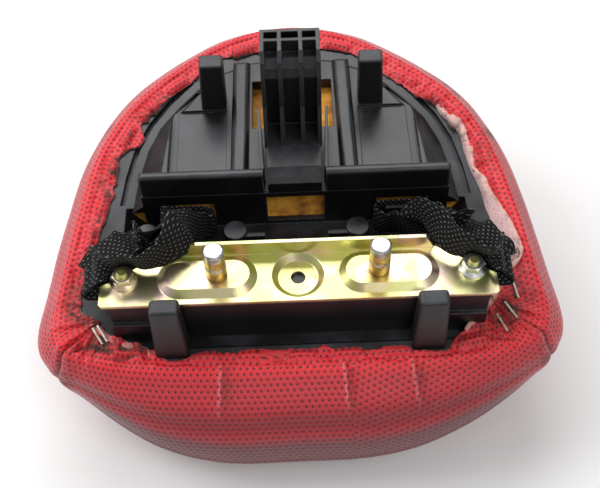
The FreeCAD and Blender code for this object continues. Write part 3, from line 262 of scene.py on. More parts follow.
def plated(name, tones, rough, stain=0.35, scale=0.03, grime=0.5, silver=0.0):
    n = Nodes(name)
    pos = n.position()
    cloud = n.noise(pos, scale, 3.0, 0.5, 0.6)
    hue = n.noise(n.vmath("ADD", pos, (37.0, 11.0, 5.0)), scale * 2.2, 2.0, 0.5, 0.4)
    fine = n.noise(pos, 0.55, 5.0, 0.65)
    tint = n.ramp(cloud, [(0.30, tones[0]), (0.45, tones[1]), (0.55, tones[2]), (0.68, tones[3])], True)
    tint = n.mix(n.math("MULTIPLY", n.step(hue, 0.52, 0.72), stain), tint, tuple(tones[4]) + (1,))
    edge = edge_mask(n, 0.0008, 0.003, 0.08)
    tint = n.mix(n.math("MULTIPLY", edge, 0.5), tint, tuple(tones[5]) + (1,))
    dirt = n.math("MULTIPLY", n.step(n.noise(n.vmath("ADD", pos, (3.0, 90.0, 1.0)), 0.12, 6.0, 0.7), 0.60, 0.70), grime)
    tint = n.mix(dirt, tint, (0.10, 0.06, 0.03, 1))
    n.set(Base_Color=tint)
    n.bsdf.inputs["Metallic"].default_value = 1.0
    n.set(Roughness=n.math("ADD", rough, n.math("ADD", n.math("MULTIPLY", fine, 0.12), n.math("MULTIPLY", dirt, 0.3))))
    scratch = n.noise(n.vmath("MULTIPLY", pos, (0.08, 1.6, 1.6)), 1.0, 4.0, 0.7)
    n.link(n.bump(n.math("ADD", n.math("MULTIPLY", fine, 0.5), n.math("MULTIPLY", scratch, 0.5)), 0.00004, 0.5, n.bevel(0.0007, 4)), n.bsdf.inputs["Normal"])
    return n.mat


GOLD = [(0.66, 0.56, 0.22), (0.60, 0.62, 0.25), (0.74, 0.66, 0.36), (0.78, 0.66, 0.48), (0.72, 0.50, 0.50), (0.90, 0.88, 0.66)]
plate_mat = plated("plate_yellow_zinc", GOLD, 0.25, 0.75, 0.030, 0.45)
SILVER = [(0.80, 0.82, 0.80), (0.86, 0.88, 0.88), (0.82, 0.84, 0.80), (0.78, 0.80, 0.74), (0.72, 0.72, 0.60), (0.95, 0.95, 0.93)]
nut_silver_mat = plated("nut_clear_zinc", SILVER, 0.26, 0.4, 0.12, 0.25)
NUTGOLD = [(0.84, 0.74, 0.42), (0.86, 0.80, 0.56), (0.84, 0.70, 0.46), (0.80, 0.62, 0.44), (0.78, 0.56, 0.40), (0.95, 0.92, 0.78)]
nut_gold_mat = plated("nut_yellow_zinc", NUTGOLD, 0.26, 0.5, 0.12, 0.3)
STUD = [(0.66, 0.66, 0.20), (0.70, 0.70, 0.26), (0.62, 0.60, 0.16), (0.60, 0.52, 0.18), (0.58, 0.50, 0.20), (0.80, 0.80, 0.45)]
bolt_mat = plated("stud_yellow_zinc", STUD, 0.36, 0.4, 0.2, 0.3)
WIRE = [(0.55, 0.50, 0.40), (0.62, 0.58, 0.50), (0.52, 0.45, 0.34), (0.48, 0.38, 0.26), (0.40, 0.28, 0.18), (0.85, 0.82, 0.76)]
staple_mat = plated("staple_wire", WIRE, 0.32, 0.5, 0.2, 0.5)


def pin_material():
    """Latch pin: golden-brown sides, a worn bright top, a rust bloom at the foot."""
    n = Nodes("pin_worn_zinc")
    pos = n.position()
    sep = n.add("ShaderNodeSeparateXYZ")
    n.link(pos, sep.inputs[0])
    z = sep.outputs["Z"]
    fine = n.noise(pos, 0.6, 5.0, 0.65)
    broad = n.noise(pos, 0.16, 4.0, 0.6)
    side = n.ramp(broad, [(0.3, (0.40, 0.22, 0.05)), (0.5, (0.62, 0.42, 0.12)), (0.62, (0.76, 0.62, 0.28)), (0.75, (0.52, 0.30, 0.10))])
    # tops stand at 129 mm
    top = n.step(n.math("ADD", z, n.math("MULTIPLY", fine, 3.0)), 124.4, 126.6)
    crown = n.mix(n.step(n.noise(n.vmath("MULTIPLY", pos, (0.3, 1.0, 0.3)), 1.2, 5.0, 0.7), 0.42, 0.60), (0.62, 0.62, 0.61, 1), (0.36, 0.35, 0.33, 1))
    colour = n.mix(top, side, crown)
    ring = n.math("MULTIPLY", n.step(z, 115.0, 116.2), n.math("SUBTRACT", 1.0, n.step(z, 117.8, 119.2)))
    colour = n.mix(n.math("MULTIPLY", ring, n.step(fine, 0.40, 0.56)), colour, (0.62, 0.60, 0.55, 1))
    foot = n.math("SUBTRACT", 1.0, n.step(n.math("ADD", z, n.math("MULTIPLY", broad, 5.0)), 109.0, 113.5))
    colour = n.mix(n.math("MULTIPLY", foot, 0.65), colour, (0.14, 0.055, 0.02, 1))
    n.set(Base_Color=colour)
    n.bsdf.inputs["Metallic"].default_value = 1.0
    n.set(Roughness=n.math("ADD", 0.24, n.math("ADD", n.math("MULTIPLY", fine, 0.14), n.math("MULTIPLY", foot, 0.25))))
    n.link(n.bump(fine, 0.00009, 0.7, n.bevel(0.0008, 4)), n.bsdf.inputs["Normal"])
    return n.mat


pin_mat = pin_material()

# ---------------------------------------------------------------- vinyl, backing, foam, webbing


def hex_dots(n, uv, pitch, radius, soft=0.25):
    """Staggered rows of round dots on a map in millimetres: 1 inside a dot."""
    rows = pitch * math.sqrt(3)
    scaled = n.vmath("DIVIDE", uv, (pitch, rows, 1.0))
    found = None
    for shift in ((0.0, 0.0, 0.0), (0.5, 0.5, 0.0)):
        cell = n.vmath("FRACTION", n.vmath("ADD", scaled, shift))
        off = n.vmath("MULTIPLY", n.vmath("SUBTRACT", cell, (0.5, 0.5, 0.0)), (pitch, rows, 0.0))
        dist = n.vmath("LENGTH", off)
        dot = n.math("SUBTRACT", 1.0, n.step(dist, radius - soft, radius + soft))
        found = dot if found is None else n.math("MAXIMUM", found, dot)
    return found


def vinyl_material():
    n = Nodes("vinyl_red")
    pos = n.position()
    uv = n.add("ShaderNodeUVMap", uv_map="cloth").outputs["UV"]
    warp = n.vmath("MULTIPLY", n.vmath("SUBTRACT", n.add("ShaderNodeTexNoise").outputs["Color"], (0.5, 0.5, 0.5)), (0, 0, 0))
    n.tree.nodes.remove(warp.node)
    dots = hex_dots(n, uv, 3.45, 0.74, 0.34)
    wide = hex_dots(n, uv, 3.45, 1.08, 0.55)
    blot = n.noise(pos, 0.045, 4.0, 0.6)
    fine = n.noise(pos, 1.4, 3.0, 0.6)
    patch = n.noise(pos, 0.22, 5.0, 0.65)
    dirt = n.attr("dirt")
    bright = n.attr("bright")
    painted_low_shade = n.attr("painted_low_shade")
    gap_and_fold_shade = n.attr("gap_and_fold_shade")
    edge = n.attr("edge")
    rub_and_highlight = n.attr("rub_and_highlight")
    base = n.mix(n.step(blot, 0.3, 0.7), (0.56, 0.030, 0.042, 1), (0.48, 0.034, 0.046, 1))
    # brighter red over the flap and roll, and a painted highlight on the front wall above the crease
    base = n.mix(bright, base, (0.80, 0.022, 0.034, 1))
    # painted shade: darker red below the front crease and over the crown
    base = n.mix(painted_low_shade, base, (0.170, 0.040, 0.048, 1))
    base = n.mix(n.attr("shade"), base, (0.24, 0.010, 0.016, 1))
    # whitish pleat ridges: rubbed vinyl and a painted highlight
    base = n.mix(n.math("MULTIPLY", rub_and_highlight, n.step(fine, 0.35, 0.65)), base, (0.80, 0.42, 0.42, 1))
    base = n.mix(n.math("MULTIPLY", dots, 0.88), base, (0.085, 0.005, 0.010, 1))
    soil = n.math("MULTIPLY", dirt, n.step(patch, 0.34, 0.62), clamp=True)
    base = n.mix(soil, base, (0.060, 0.030, 0.022, 1))
    # near black: dark seam joints, and painted shade in the slits and folds of the flap
    base = n.mix(gap_and_fold_shade, base, (0.010, 0.006, 0.006, 1))
    base = n.mix(edge, base, (0.80, 0.55, 0.48, 1))
    n.set(Base_Color=base)
    n.set(Roughness=n.math("ADD", n.math("ADD", 0.40, n.math("MULTIPLY", fine, 0.10)), n.math("MULTIPLY", n.math("MAXIMUM", soil, edge), 0.35)))
    n.bsdf.inputs["Specular IOR Level"].default_value = 0.5
    n.bsdf.inputs["Sheen Weight"].default_value = 0.16
    n.bsdf.inputs["Sheen Roughness"].default_value = 0.45
    height = n.math("SUBTRACT", n.math("MULTIPLY", fine, 0.18), wide)
    n.link(n.bump(height, 0.00028, 0.8), n.bsdf.inputs["Normal"])
    return n.mat


vinyl_mat = vinyl_material()


def backing_material():
    n = Nodes("backing_cloth")
    pos = n.position()
    fine = n.noise(pos, 1.1, 5.0, 0.7)
    specks = n.step(n.noise(pos, 0.55, 5.0, 0.75), 0.56, 0.66)
    base = n.mix(n.step(fine, 0.35, 0.7), (0.62, 0.36, 0.36, 1), (0.78, 0.58, 0.56, 1))
    base = n.mix(n.math("MULTIPLY", specks, 0.75), base, (0.20, 0.09, 0.09, 1))
    dirt = n.math("MULTIPLY", n.attr("dirt"), n.step(n.noise(pos, 0.3, 5.0, 0.7), 0.40, 0.6))
    base = n.mix(dirt, base, (0.06, 0.04, 0.035, 1))
    n.set(Base_Color=base)
    n.bsdf.inputs["Roughness"].default_value = 0.92
    n.bsdf.inputs["Sheen Weight"].default_value = 0.2
    n.link(n.bump(fine, 0.0004, 0.9), n.bsdf.inputs["Normal"])
    return n.mat


backing_mat = backing_material()


def foam_material():
    n = Nodes("foam_amber")
    pos = n.position()
    cells = n.add("ShaderNodeTexVoronoi")
    n.link(pos, cells.inputs["Vector"])
    cells.inputs["Scale"].default_value = 1.3
    broad = n.noise(pos, 0.09, 4.0, 0.6)
    fine = n.noise(pos, 0.8, 4.0, 0.7)
    base = n.ramp(broad, [(0.28, (0.22, 0.075, 0.004)), (0.45, (0.50, 0.20, 0.010)), (0.58, (0.72, 0.34, 0.030)), (0.72, (0.36, 0.14, 0.008))])
    base = n.mix(n.math("MULTIPLY", n.step(fine, 0.55, 0.72), 0.45), base, (0.16, 0.06, 0.015, 1))
    n.set(Base_Color=base)
    n.bsdf.inputs["Roughness"].default_value = 0.62
    n.bsdf.inputs["Subsurface Weight"].default_value = 0.12
    n.bsdf.inputs["Subsurface Radius"].default_value = (0.004, 0.002, 0.0008)
    n.bsdf.inputs["Subsurface Scale"].default_value = 1.0
    height = n.math("ADD", n.math("MULTIPLY", cells.outputs["Distance"], 0.6), fine)
    n.link(n.bump(height, 0.0006, 0.8), n.bsdf.inputs["Normal"])
    return n.mat


foam_mat = foam_material()


def webbing_material():
    """Basket weave: u across the webbing and v along it, in millimetres."""
    n = Nodes("webbing_black")
    uv = n.add("ShaderNodeUVMap", uv_map="cloth").outputs["UV"]
    pos = n.position()
    sep = n.add("ShaderNodeSeparateXYZ")
    n.link(uv, sep.inputs[0])
    u, v = sep.outputs["X"], sep.outputs["Y"]
    warp_pitch, weft_pitch = 1.9, 1.6
    cu = n.math("DIVIDE", u, warp_pitch)
    cv = n.math("DIVIDE", v, weft_pitch)
    parity = n.math("MODULO", n.math("ADD", n.math("FLOOR", cu), n.math("FLOOR", cv)), 2.0)
    parity = n.math("ABSOLUTE", parity)
    fu = n.math("SUBTRACT", n.math("FRACT", cu), 0.5)
    fv = n.math("SUBTRACT", n.math("FRACT", cv), 0.5)
    warp_h = n.math("SUBTRACT", 1.0, n.math("ADD", n.math("MULTIPLY", n.math("MULTIPLY", fu, fu), 3.6), n.math("MULTIPLY", n.math("MULTIPLY", fv, fv), 1.2)))
    weft_h = n.math("SUBTRACT", 1.0, n.math("ADD", n.math("MULTIPLY", n.math("MULTIPLY", fv, fv), 3.6), n.math("MULTIPLY", n.math("MULTIPLY", fu, fu), 1.2)))
    height = n.mixf(parity, n.math("MULTIPLY", weft_h, 0.72), warp_h)
    fuzz = n.noise(pos, 2.2, 3.0, 0.7)
    broad = n.noise(pos, 0.12, 3.0, 0.6)
    crest = n.math("MULTIPLY", n.step(height, 0.72, 1.0), n.step(fuzz, 0.36, 0.56))
    base = n.mix(n.math("MULTIPLY", crest, 0.85), (0.0030, 0.0030, 0.0035, 1), (0.24, 0.24, 0.235, 1))
    base = n.mix(n.math("MULTIPLY", n.step(broad, 0.5, 0.8), 0.12), base, (0.03, 0.029, 0.027, 1))
    n.set(Base_Color=base)
    n.set(Roughness=n.math("SUBTRACT", 0.72, n.math("MULTIPLY", crest, 0.2)))
    n.bsdf.inputs["Specular IOR Level"].default_value = 0.28
    n.link(n.bump(n.math("ADD", height, n.math("MULTIPLY", fuzz, 0.3)), 0.0007, 1.0), n.bsdf.inputs["Normal"])
    return n.mat


webbing_mat = webbing_material()

# ---------------------------------------------------------------- finishes of the CAD nodes
FINISH = {
    "seat_pan": pan_mat, "bracket_box": pan_mat, "cross_wall_left": wall_mat, "cross_wall_right": wall_mat, "rear_tongue": pan_mat,
    "lock_bracket": plate_mat, "lock_pin_left": pin_mat, "lock_pin_right": pin_mat,
    "bracket_bolt_left": bolt_mat, "bracket_bolt_right": bolt_mat, "flange_nut_left": nut_gold_mat, "flange_nut_right": nut_silver_mat,
    "front_bumper_left": rubber_mat, "front_bumper_right": rubber_mat, "rear_bumper_left": rubber_mat, "rear_bumper_right": rubber_mat,
    "cover_staples": staple_mat,
}
for node_name, material in FINISH.items():
    if node_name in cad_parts:
        for mat_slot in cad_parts[node_name].material_slots:
            mat_slot.material = material

# ---------------------------------------------------------------- numeric helpers


def lattice(ix, iy, iz, seed):
    h = (ix * 374761393 + iy * 668265263 + iz * 2147483647 + seed * 1274126177) & 0xFFFFFFFF
    h = ((h ^ (h >> 13)) * 1274126177) & 0xFFFFFFFF
    return ((h ^ (h >> 16)) & 0xFFFF) / 32767.5 - 1.0


def vnoise(p, seed=0):
    """Smooth value noise of points (..., 3), from -1 to 1."""
    p = np.asarray(p, float)
    i = np.floor(p).astype(np.int64)
    f = p - i
    w = f * f * f * (f * (f * 6 - 15) + 10)
    out = 0.0
    for dx in (0, 1):
        for dy in (0, 1):
            for dz in (0, 1):
                weight = (w[..., 0] if dx else 1 - w[..., 0]) * (w[..., 1] if dy else 1 - w[..., 1]) * (w[..., 2] if dz else 1 - w[..., 2])
                out = out + weight * lattice(i[..., 0] + dx, i[..., 1] + dy, i[..., 2] + dz, seed)
    return out


def fbm(p, octaves=3, seed=0):
    total, amp, norm = 0.0, 1.0, 0.0
    for k in range(octaves):
        total = total + amp * vnoise(np.asarray(p) * (2.0 ** k), seed + 17 * k)
        norm += amp
        amp *= 0.5
    return total / norm


def smooth01(x, a, b):
    t = np.clip((np.asarray(x, float) - a) / (b - a), 0, 1)
    return t * t * (3 - 2 * t)


def periodic_spline(knots, values):
    """Cubic periodic spline through values at increasing knots; the last knot is the period."""
    knots = np.asarray(knots, float)
    values = np.asarray(values, float)
    n = len(values)
    h = np.diff(knots)
    a = np.zeros((n, n))
    rhs = np.zeros((n, values.shape[1]))
    for i in range(n):
        hm, hp = h[i - 1], h[i]
        a[i, i - 1] += hm
        a[i, i] += 2 * (hm + hp)
        a[i, (i + 1) % n] += hp
        rhs[i] = 6 * ((values[(i + 1) % n] - values[i]) / hp - (values[i] - values[i - 1]) / hm)
    second = np.linalg.solve(a, rhs)

    def at(s):
        s = np.mod(np.asarray(s, float) - knots[0], knots[-1] - knots[0]) + knots[0]
        k = np.clip(np.searchsorted(knots, s, side="right") - 1, 0, n - 1)
        k1 = (k + 1) % n
        left, right_ = knots[k], knots[k + 1]
        hh = (right_ - left)[:, None]
        p, q = (right_ - s)[:, None] / hh, (s - left)[:, None] / hh
        return p * values[k] + q * values[k1] + ((p ** 3 - p) * second[k] + (q ** 3 - q) * second[k1]) * hh ** 2 / 6
    return at


def grid_object(name, grid, close_u=True, uv=None, attributes=None, material=None, flip=False, thickness=0.0):
    """Quad mesh over grid (rows, columns, 3) given in datum millimetres."""
    rows, cols = grid.shape[:2]
    verts = m3(grid.reshape(-1, 3))
    r = np.arange(rows - 1)[:, None]
    c = np.arange(cols if close_u else cols - 1)[None, :]
    c1 = (c + 1) % cols
    quads = np.stack([r * cols + c, r * cols + c1, (r + 1) * cols + c1, (r + 1) * cols + c], -1).reshape(-1, 4)
    if flip:
        quads = quads[:, ::-1]
    mesh = bpy.data.meshes.new(name)
    mesh.vertices.add(len(verts))
    mesh.vertices.foreach_set("co", verts.astype(np.float32).ravel())
    mesh.loops.add(quads.size)
    mesh.loops.foreach_set("vertex_index", quads.astype(np.int32).ravel())
    mesh.polygons.add(len(quads))
    mesh.polygons.foreach_set("loop_start", np.arange(0, quads.size, 4, dtype=np.int32))
    mesh.polygons.foreach_set("loop_total", np.full(len(quads), 4, dtype=np.int32))
    mesh.update(calc_edges=True)
    mesh.validate()
    if uv is not None:
        layer = mesh.uv_layers.new(name="cloth")
        layer.data.foreach_set("uv", uv(quads).astype(np.float32).ravel())
    for key, values in (attributes or {}).items():
        a = mesh.attributes.new(key, "FLOAT", "POINT")
        a.data.foreach_set("value", np.asarray(values, np.float32).ravel())
    mesh.polygons.foreach_set("use_smooth", np.ones(len(quads), dtype=bool))
    obj = bpy.data.objects.new(name, mesh)
    scene.collection.objects.link(obj)
    if material is not None:
        mesh.materials.append(material)
    return obj


def grid_normals(grid, close_u=True):
    du = (np.roll(grid, -1, 1) - np.roll(grid, 1, 1)) if close_u else np.gradient(grid, axis=1)
    dv = np.gradient(grid, axis=0)
    n = np.cross(du, dv)
    return n / np.maximum(np.linalg.norm(n, axis=-1, keepdims=True), 1e-9)


# ---------------------------------------------------------------- cushion lines
RIM_K, RIM_Z, RIM_Y = 0.13, -32.0, -30.0


def rim(y):
    return RIM_Z + RIM_K * (np.asarray(y, float) - RIM_Y)


T_HALF = [(0, -38), (45, -37.5), (85, -35.5), (112, -31), (130, -18), (130, 8), (125.5, 36), (119.8, 66),
          (113.4, 92), (105, 113), (92.5, 133), (79, 146.5), (61, 160), (38, 172.5), (17, 178.5), (0, 180)]
W_HALF = [(0, -63, -50), (45, -60.5, -49.5), (85, -51.5, -47.5), (118, -38, -45), (142.5, -17, -42),
          (142.3, 11, -39), (137.4, 39, -35.5), (131.3, 70, -31.5), (124.6, 98, -28), (115.4, 121, -25),
          (102, 143.5, -22), (87.5, 158.3, -20), (68, 172.5, -18.3), (42, 186, -16.6), (18.7, 191.3, -15.8), (0, 192.8, -15.6)]
M_HALF = [(0, -69.5), (46, -66), (88, -52.5), (119, -35.5), (140.3, -14), (141.2, 12), (135.8, 40), (129.3, 70),
          (122.3, 97), (112.6, 119.5), (99, 140.5), (84.7, 154.3), (65.6, 168.2), (40.7, 180.6), (18, 186), (0, 187.4)]
C_HALF = [(0, -48, -95), (36, -45, -94), (69, -33, -90.5), (93, -17, -86.5), (108, 4, -83.5), (111, 24, -82),
          (108, 48, -80), (103, 72, -77), (96, 94, -74), (87, 113, -71), (76, 129.5, -68), (64, 141, -65.5),
          (49, 151.5, -63.5), (31, 160, -62), (14, 164, -61), (0, 165, -61)]
P_HALF = [(0, -18), (22, -15), (40, -6), (50, 5), (56, 18), (58, 30), (58, 44), (56, 58), (52, 70), (47, 80),
          (40, 88), (33, 93.5), (25, 97.5), (16, 100.5), (8, 102), (0, 102.5)]
SEAM_Y = [-75, -69.5, -60, -50, -38, -25, -12, 12, 40, 70, 97, 120, 142, 160, 180, 200]
SEAM_Z = [-84, -81, -75, -69.5, -63, -57.5, -54.3, -52, -49.5, -46.5, -43.5, -41, -38.3, -36, -33, -30.5]


def full(half):
    """Closed loop, right half front to rear, then left half rear to front."""
    half = [tuple(map(float, p)) for p in half]
    return np.array(half + [(-p[0],) + tuple(p[1:]) for p in half[-2:0:-1]])


t_loop = full(T_HALF)
t_loop = np.c_[t_loop, rim(t_loop[:, 1]) + 3.0]
w_loop = full(W_HALF)
m_loop = full(M_HALF)
m_loop = np.c_[m_loop, np.interp(m_loop[:, 1], SEAM_Y, SEAM_Z)]
c_loop = full(C_HALF)
p_loop = full(P_HALF)
p_loop = np.c_[p_loop, np.full(len(p_loop), -104.0)]


# The real cushion is not quite symmetric. Centre, spread, shift and how much of it only the lower half takes.
BUMPS = [((-80, 142), (42, 42), (1.7, -2.2, 0), 0), ((75, 148), (52, 46), (-1.9, -2.3, 0), 0), ((104, -48), (36, 30), (0.6, -2.6, 0), 1),
         ((-70, -56), (42, 30), (-0.4, -5.2, 0), 1), ((60, -60), (34, 26), (0, -3.0, 0), 1), ((142, 18), (22, 40), (-1.4, 0, 0), 0), ((-142, 18), (22, 40), (1.4, 0, 0), 0)]


def lean(points):
    points = points.copy()
    x, y, z = (points[:, k].copy() for k in range(3))
    for (cx, cy), (sx, sy), move, low in BUMPS:
        share = np.exp(-(((x - cx) / sx) ** 2 + ((y - cy) / sy) ** 2))
        if low:
            share = share * smooth01(-z, 34, 56)
        points += share[:, None] * np.array(move, float)
    return points


loops = [lean(q) for q in (t_loop, w_loop, m_loop, c_loop, p_loop)]
span = np.linalg.norm(np.roll(w_loop, -1, 0) - w_loop, axis=1)
knots = np.r_[0, np.cumsum(span)]
GIRTH = knots[-1]
NU = 880
s_u = np.linspace(0, GIRTH, NU, endpoint=False)
T, W, M, C, P = (periodic_spline(knots, q)(s_u) for q in loops)

# Inner edge of the turned-in flap, in plan, clockwise seen from above starting behind the left rear block.
EDGE_LEFT = [(-17.5, 165.8), (-42, 161.2), (-57.2, 148.5), (-63.6, 140.9), (-72.2, 133.6), (-77.7, 129.0), (-83.9, 122.7), (-90.0, 116.3),
             (-89.0, 111.0), (-88.2, 105.0), (-89.6, 100.2), (-93.4, 98.6), (-97.6, 99.6), (-102.3, 93.0), (-105.1, 86.8), (-103.1, 77.9),
             (-103.0, 70.5), (-104.2, 65.8), (-106.3, 58.9), (-108.6, 52.2), (-110.4, 43.9), (-112.1, 36.5), (-113.6, 29.2),
             (-115.7, 20.6), (-117.6, 8.4), (-118.0, 0.0), (-113.6, -4.4), (-106.7, -9.6), (-100.5, -15.6), (-95.4, -18.4),
             (-90.8, -20.4), (-84.2, -22.4), (-77.7, -25.6), (-72.0, -31.4), (-66.6, -33.2), (-60.7, -31.4), (-55.2, -30.4),
             (-40, -29.3), (-22, -29.2), (-3.1, -28.6), (0.9, -26.9), (4.7, -28.9), (14.5, -27.4), (18.5, -29.4), (36, -30.2), (56.0, -30.8)]
EDGE_RIGHT = [(60.0, -32.2), (67.9, -33.0), (76.0, -31.6), (79.3, -27.7), (87.4, -20.9), (93.2, -16.0), (98.0, -10.5), (102.9, -5.1), (106.4, 0.0),
              (108.6, 5.0), (111.2, 9.4), (114.9, 12.9), (119.3, 16.3), (122.7, 19.8), (123.4, 26.0), (121.0, 34.3), (118.2, 44.8), (113.0, 54.6),
              (108.5, 62.3), (107.2, 70.9), (101.4, 77.4), (102.4, 86.7), (100.0, 93.8), (99.4, 101.4), (97.7, 108.4), (91.4, 112.0),
              (88.8, 119.6), (82.9, 128.1), (77.4, 126.2), (70, 133), (56.1, 145), (42.9, 157.4), (34, 163.5), (18.2, 165.7), (0, 166.2)]
# one loop in the same sense as the cushion's lines: front centre, right side, rear, left side, front
front_i = EDGE_LEFT.index((-3.1, -28.6))
loop_pts = EDGE_LEFT[front_i:] + EDGE_RIGHT + EDGE_LEFT[:front_i]
edge_xy = np.array(loop_pts, float)
dense = []
for a, b in zip(edge_xy, np.roll(edge_xy, -1, 0)):
    steps = max(2, int(np.linalg.norm(b - a) / 1.0))
    dense.append(a + (b - a) * (np.arange(steps) / steps)[:, None])
dense = np.vstack(dense)
# each edge point belongs to the nearest place on the roll; the match is kept in order
near = np.array([s_u[np.argmin(((T[:, :2] - q) ** 2).sum(1))] for q in dense])
near = np.where(near > GIRTH * 0.75, near, near)
start = near[0]
rel = np.mod(near - start + GIRTH * 0.02, GIRTH) - GIRTH * 0.02
rel = np.maximum.accumulate(rel)
lo_, hi_ = rel[0], rel[-1]
rel = rel + np.arange(len(rel)) * 1e-4
ext_s = np.r_[rel - GIRTH, rel, rel + GIRTH]
ext_p = np.vstack([dense, dense, dense])
query = np.mod(s_u - start, GIRTH)
E_xy = np.stack([np.interp(query, ext_s, ext_p[:, k]) for k in (0, 1)], 1)
# light smoothing takes out the corners of the polyline
for _ in range(3):
    E_xy = 0.25 * np.roll(E_xy, 1, 0) + 0.5 * E_xy + 0.25 * np.roll(E_xy, -1, 0)
ragged = np.c_[E_xy, np.zeros(NU)]
inward = E_xy - T[:, :2]
inward /= np.maximum(np.linalg.norm(inward, axis=1, keepdims=True), 1e-6)
E_xy = E_xy + inward * (0.55 * fbm(ragged / 2.1, 2, 3) + 0.9 * fbm(ragged / 6.5, 2, 5))[:, None]

# ---------------------------------------------------------------- cover surface
N_FLAP, N_SIDE, N_CROWN, N_PATCH = 22, 62, 44, 10
rows, tags = [], []
edge_z = rim(E_xy[:, 1])
rows.append(np.c_[E_xy - inward * 4.0, edge_z + 1.75]); tags.append(-3)
rows.append(np.c_[E_xy - inward * 0.6, edge_z + 1.75]); tags.append(-2)
rows.append(np.c_[E_xy + inward * 0.35, edge_z + 2.3]); tags.append(-1)
for k in range(N_FLAP):
    t = k / N_FLAP
    xy = E_xy * (1 - t) + T[:, :2] * t
    lift = 3.0 + 1.4 * smooth01(t, 0.45, 1.0)
    rows.append(np.c_[xy, rim(xy[:, 1]) + lift]); tags.append(t)
for k in range(N_SIDE):
    t = 2.0 * k / N_SIDE
    q = T * ((t - 1) * (t - 2) / 2) - W * (t * (t - 2)) + M * (t * (t - 1) / 2)
    q[:, 2] += 1.4 * (1 - smooth01(t, 0.0, 0.35))
    rows.append(q); tags.append(1 + t)
p2, p1 = 2.4, 1.0
for k in range(N_CROWN + 1):
    t = p2 * k / N_CROWN
    q = M * ((t - p1) * (t - p2) / (p1 * p2)) + C * (t * (t - p2) / (p1 * (p1 - p2))) + P * (t * (t - p1) / (p2 * (p2 - p1)))
    if t > p1:
        share = (p2 - t) / (p2 - p1)
        q[:, 2] = -104.0 + (C[:, 2] + 104.0) * share ** 1.35
    rows.append(q); tags.append(3 + t)
centre = np.array([0.0, 42.0, -104.0])
for k in range(1, N_PATCH + 1):
    t = k / N_PATCH
    rows.append(P * (1 - t) + centre * t); tags.append(5.4 + t)
G = np.stack(rows)
tags = np.array(tags)
NR = len(rows)
i_flap, i_side, i_crown = 3, 3 + N_FLAP, 3 + N_FLAP + N_SIDE
# round the roll and soften the break at the crown's shoulder
for a, b, times in ((i_flap + N_FLAP - 7, i_side + 8, 10), (i_crown + 6, i_crown + N_CROWN - 2, 12)):
    for _ in range(times):
        G[a:b] = 0.25 * G[a - 1:b - 1] + 0.5 * G[a:b] + 0.25 * G[a + 1:b + 1]
N0 = grid_normals(G)
if (N0[i_side + 20, 0] * np.array([0, -1, 0.2])).sum() < 0:
    N0 = -N0
    FLIP = True
else:
    FLIP = False
# arc lengths for the cloth map
v_len = np.zeros((NR, NU))
step_len = np.linalg.norm(np.diff(G, axis=0), axis=2)
v_len[1:] = np.cumsum(np.minimum(step_len, 6.0), axis=0)
v_len -= v_len[i_side][None, :]
U = np.broadcast_to(s_u[None, :], (NR, NU))
X, Y, Z = G[..., 0], G[..., 1], G[..., 2]
w_above = Z - rim(Y)
tag = np.broadcast_to(tags[:, None], (NR, NU))
on_flap = (tag >= 0) & (tag < 1)
flap_in = np.where(tag < 1, 1 - np.clip(tag, 0, 1), 0.0)
disp = np.zeros((NR, NU))
dirt = np.zeros((NR, NU)); bright = np.zeros((NR, NU)); painted_low_shade = np.zeros((NR, NU))
gap_and_fold_shade = np.zeros((NR, NU)); edge_a = np.zeros((NR, NU)); rub_and_highlight = np.zeros((NR, NU))


def seg_dist(points, line):
    """Plan distance from points to a polyline, with the share of the way along it."""
    px, py = points[..., 0], points[..., 1]
    best = np.full(px.shape, 1e9)
    where = np.zeros(px.shape)
    total = sum(math.dist(a, b) for a, b in zip(line, line[1:]))
    gone = 0.0
    for a, b in zip(line, line[1:]):
        dx, dy = b[0] - a[0], b[1] - a[1]
        size = math.hypot(dx, dy)
        t = np.clip(((px - a[0]) * dx + (py - a[1]) * dy) / size ** 2, 0, 1)
        d = np.hypot(px - a[0] - t * dx, py - a[1] - t * dy)
        nearer = d < best
        best = np.where(nearer, d, best)
        where = np.where(nearer, (gone + t * size) / total, where)
        gone += size
    return best, where


# broad softness and fine pebble of the whole skin
disp += 0.55 * fbm(G / 38.0, 2, 11)
# folds of the flap: sharp little valleys that run inwards, deepest at the cut edge, busiest round the corners
crease = fbm(np.stack([U / 8.5, v_len / 60.0, 0 * U], -1), 2, 21)
crease2 = fbm(np.stack([U / 4.2, v_len / 30.0, 0 * U + 3], -1), 2, 23)
corner = np.exp(-(((np.abs(X) - 118) / 26) ** 2 + ((Y + 20) / 30) ** 2)) + 0.55 * np.exp(-(((np.abs(X) - 92) / 30) ** 2 + ((Y - 122) / 38) ** 2))
depth = (0.30 + 0.75 * flap_in) * (0.55 + 1.9 * corner)
fade = np.where(tag < 1, 1.0, 1 - smooth01(tag, 1.0, 1.28))
disp += fade * depth * (1.15 * (1 - np.abs(crease) * 2.6) - 0.45 + 0.5 * crease2)
# the vinyl bunches over most of the staples; the few at the front corners press it down and stay in sight
HIDDEN = [(-50, -31.4, 0), (-25, -31.5, 3), (0, -31.5, -2), (25, -31.5, 3), (50, -31.4, 0), (90, -27.2, 12), (-90, -27.2, -12),
          (-117, 16, -85), (117.5, 22, 88), (115, 40, 98), (-115, 40, -98), (109.5, 62, 100), (-109.5, 62, -100),
          (104.5, 86, 104), (-104.5, 86, -104), (97.5, 106, 118), (-97.5, 106, -118), (85, 124, 133), (-85, 124, -133), (69, 141, 140), (-69, 141, -140),
          (50, 157, 152), (-50, 157, -152), (28, 167, 164), (-28, 167, -164), (8, 171, 178), (-10, 171, -176)]
SEEN = [(-107.5, -17.0, -58), (-105.0, -15.6, -58), (107, -17.5, -66), (112.5, -10.5, -60), (116.5, 1.5, -80)]


def along_staple(sx, sy, turn):
    ca, sa = math.cos(math.radians(turn)), math.sin(math.radians(turn))
    dx, dy = X - sx, Y - sy
    return dx * ca + dy * sa, -dx * sa + dy * ca


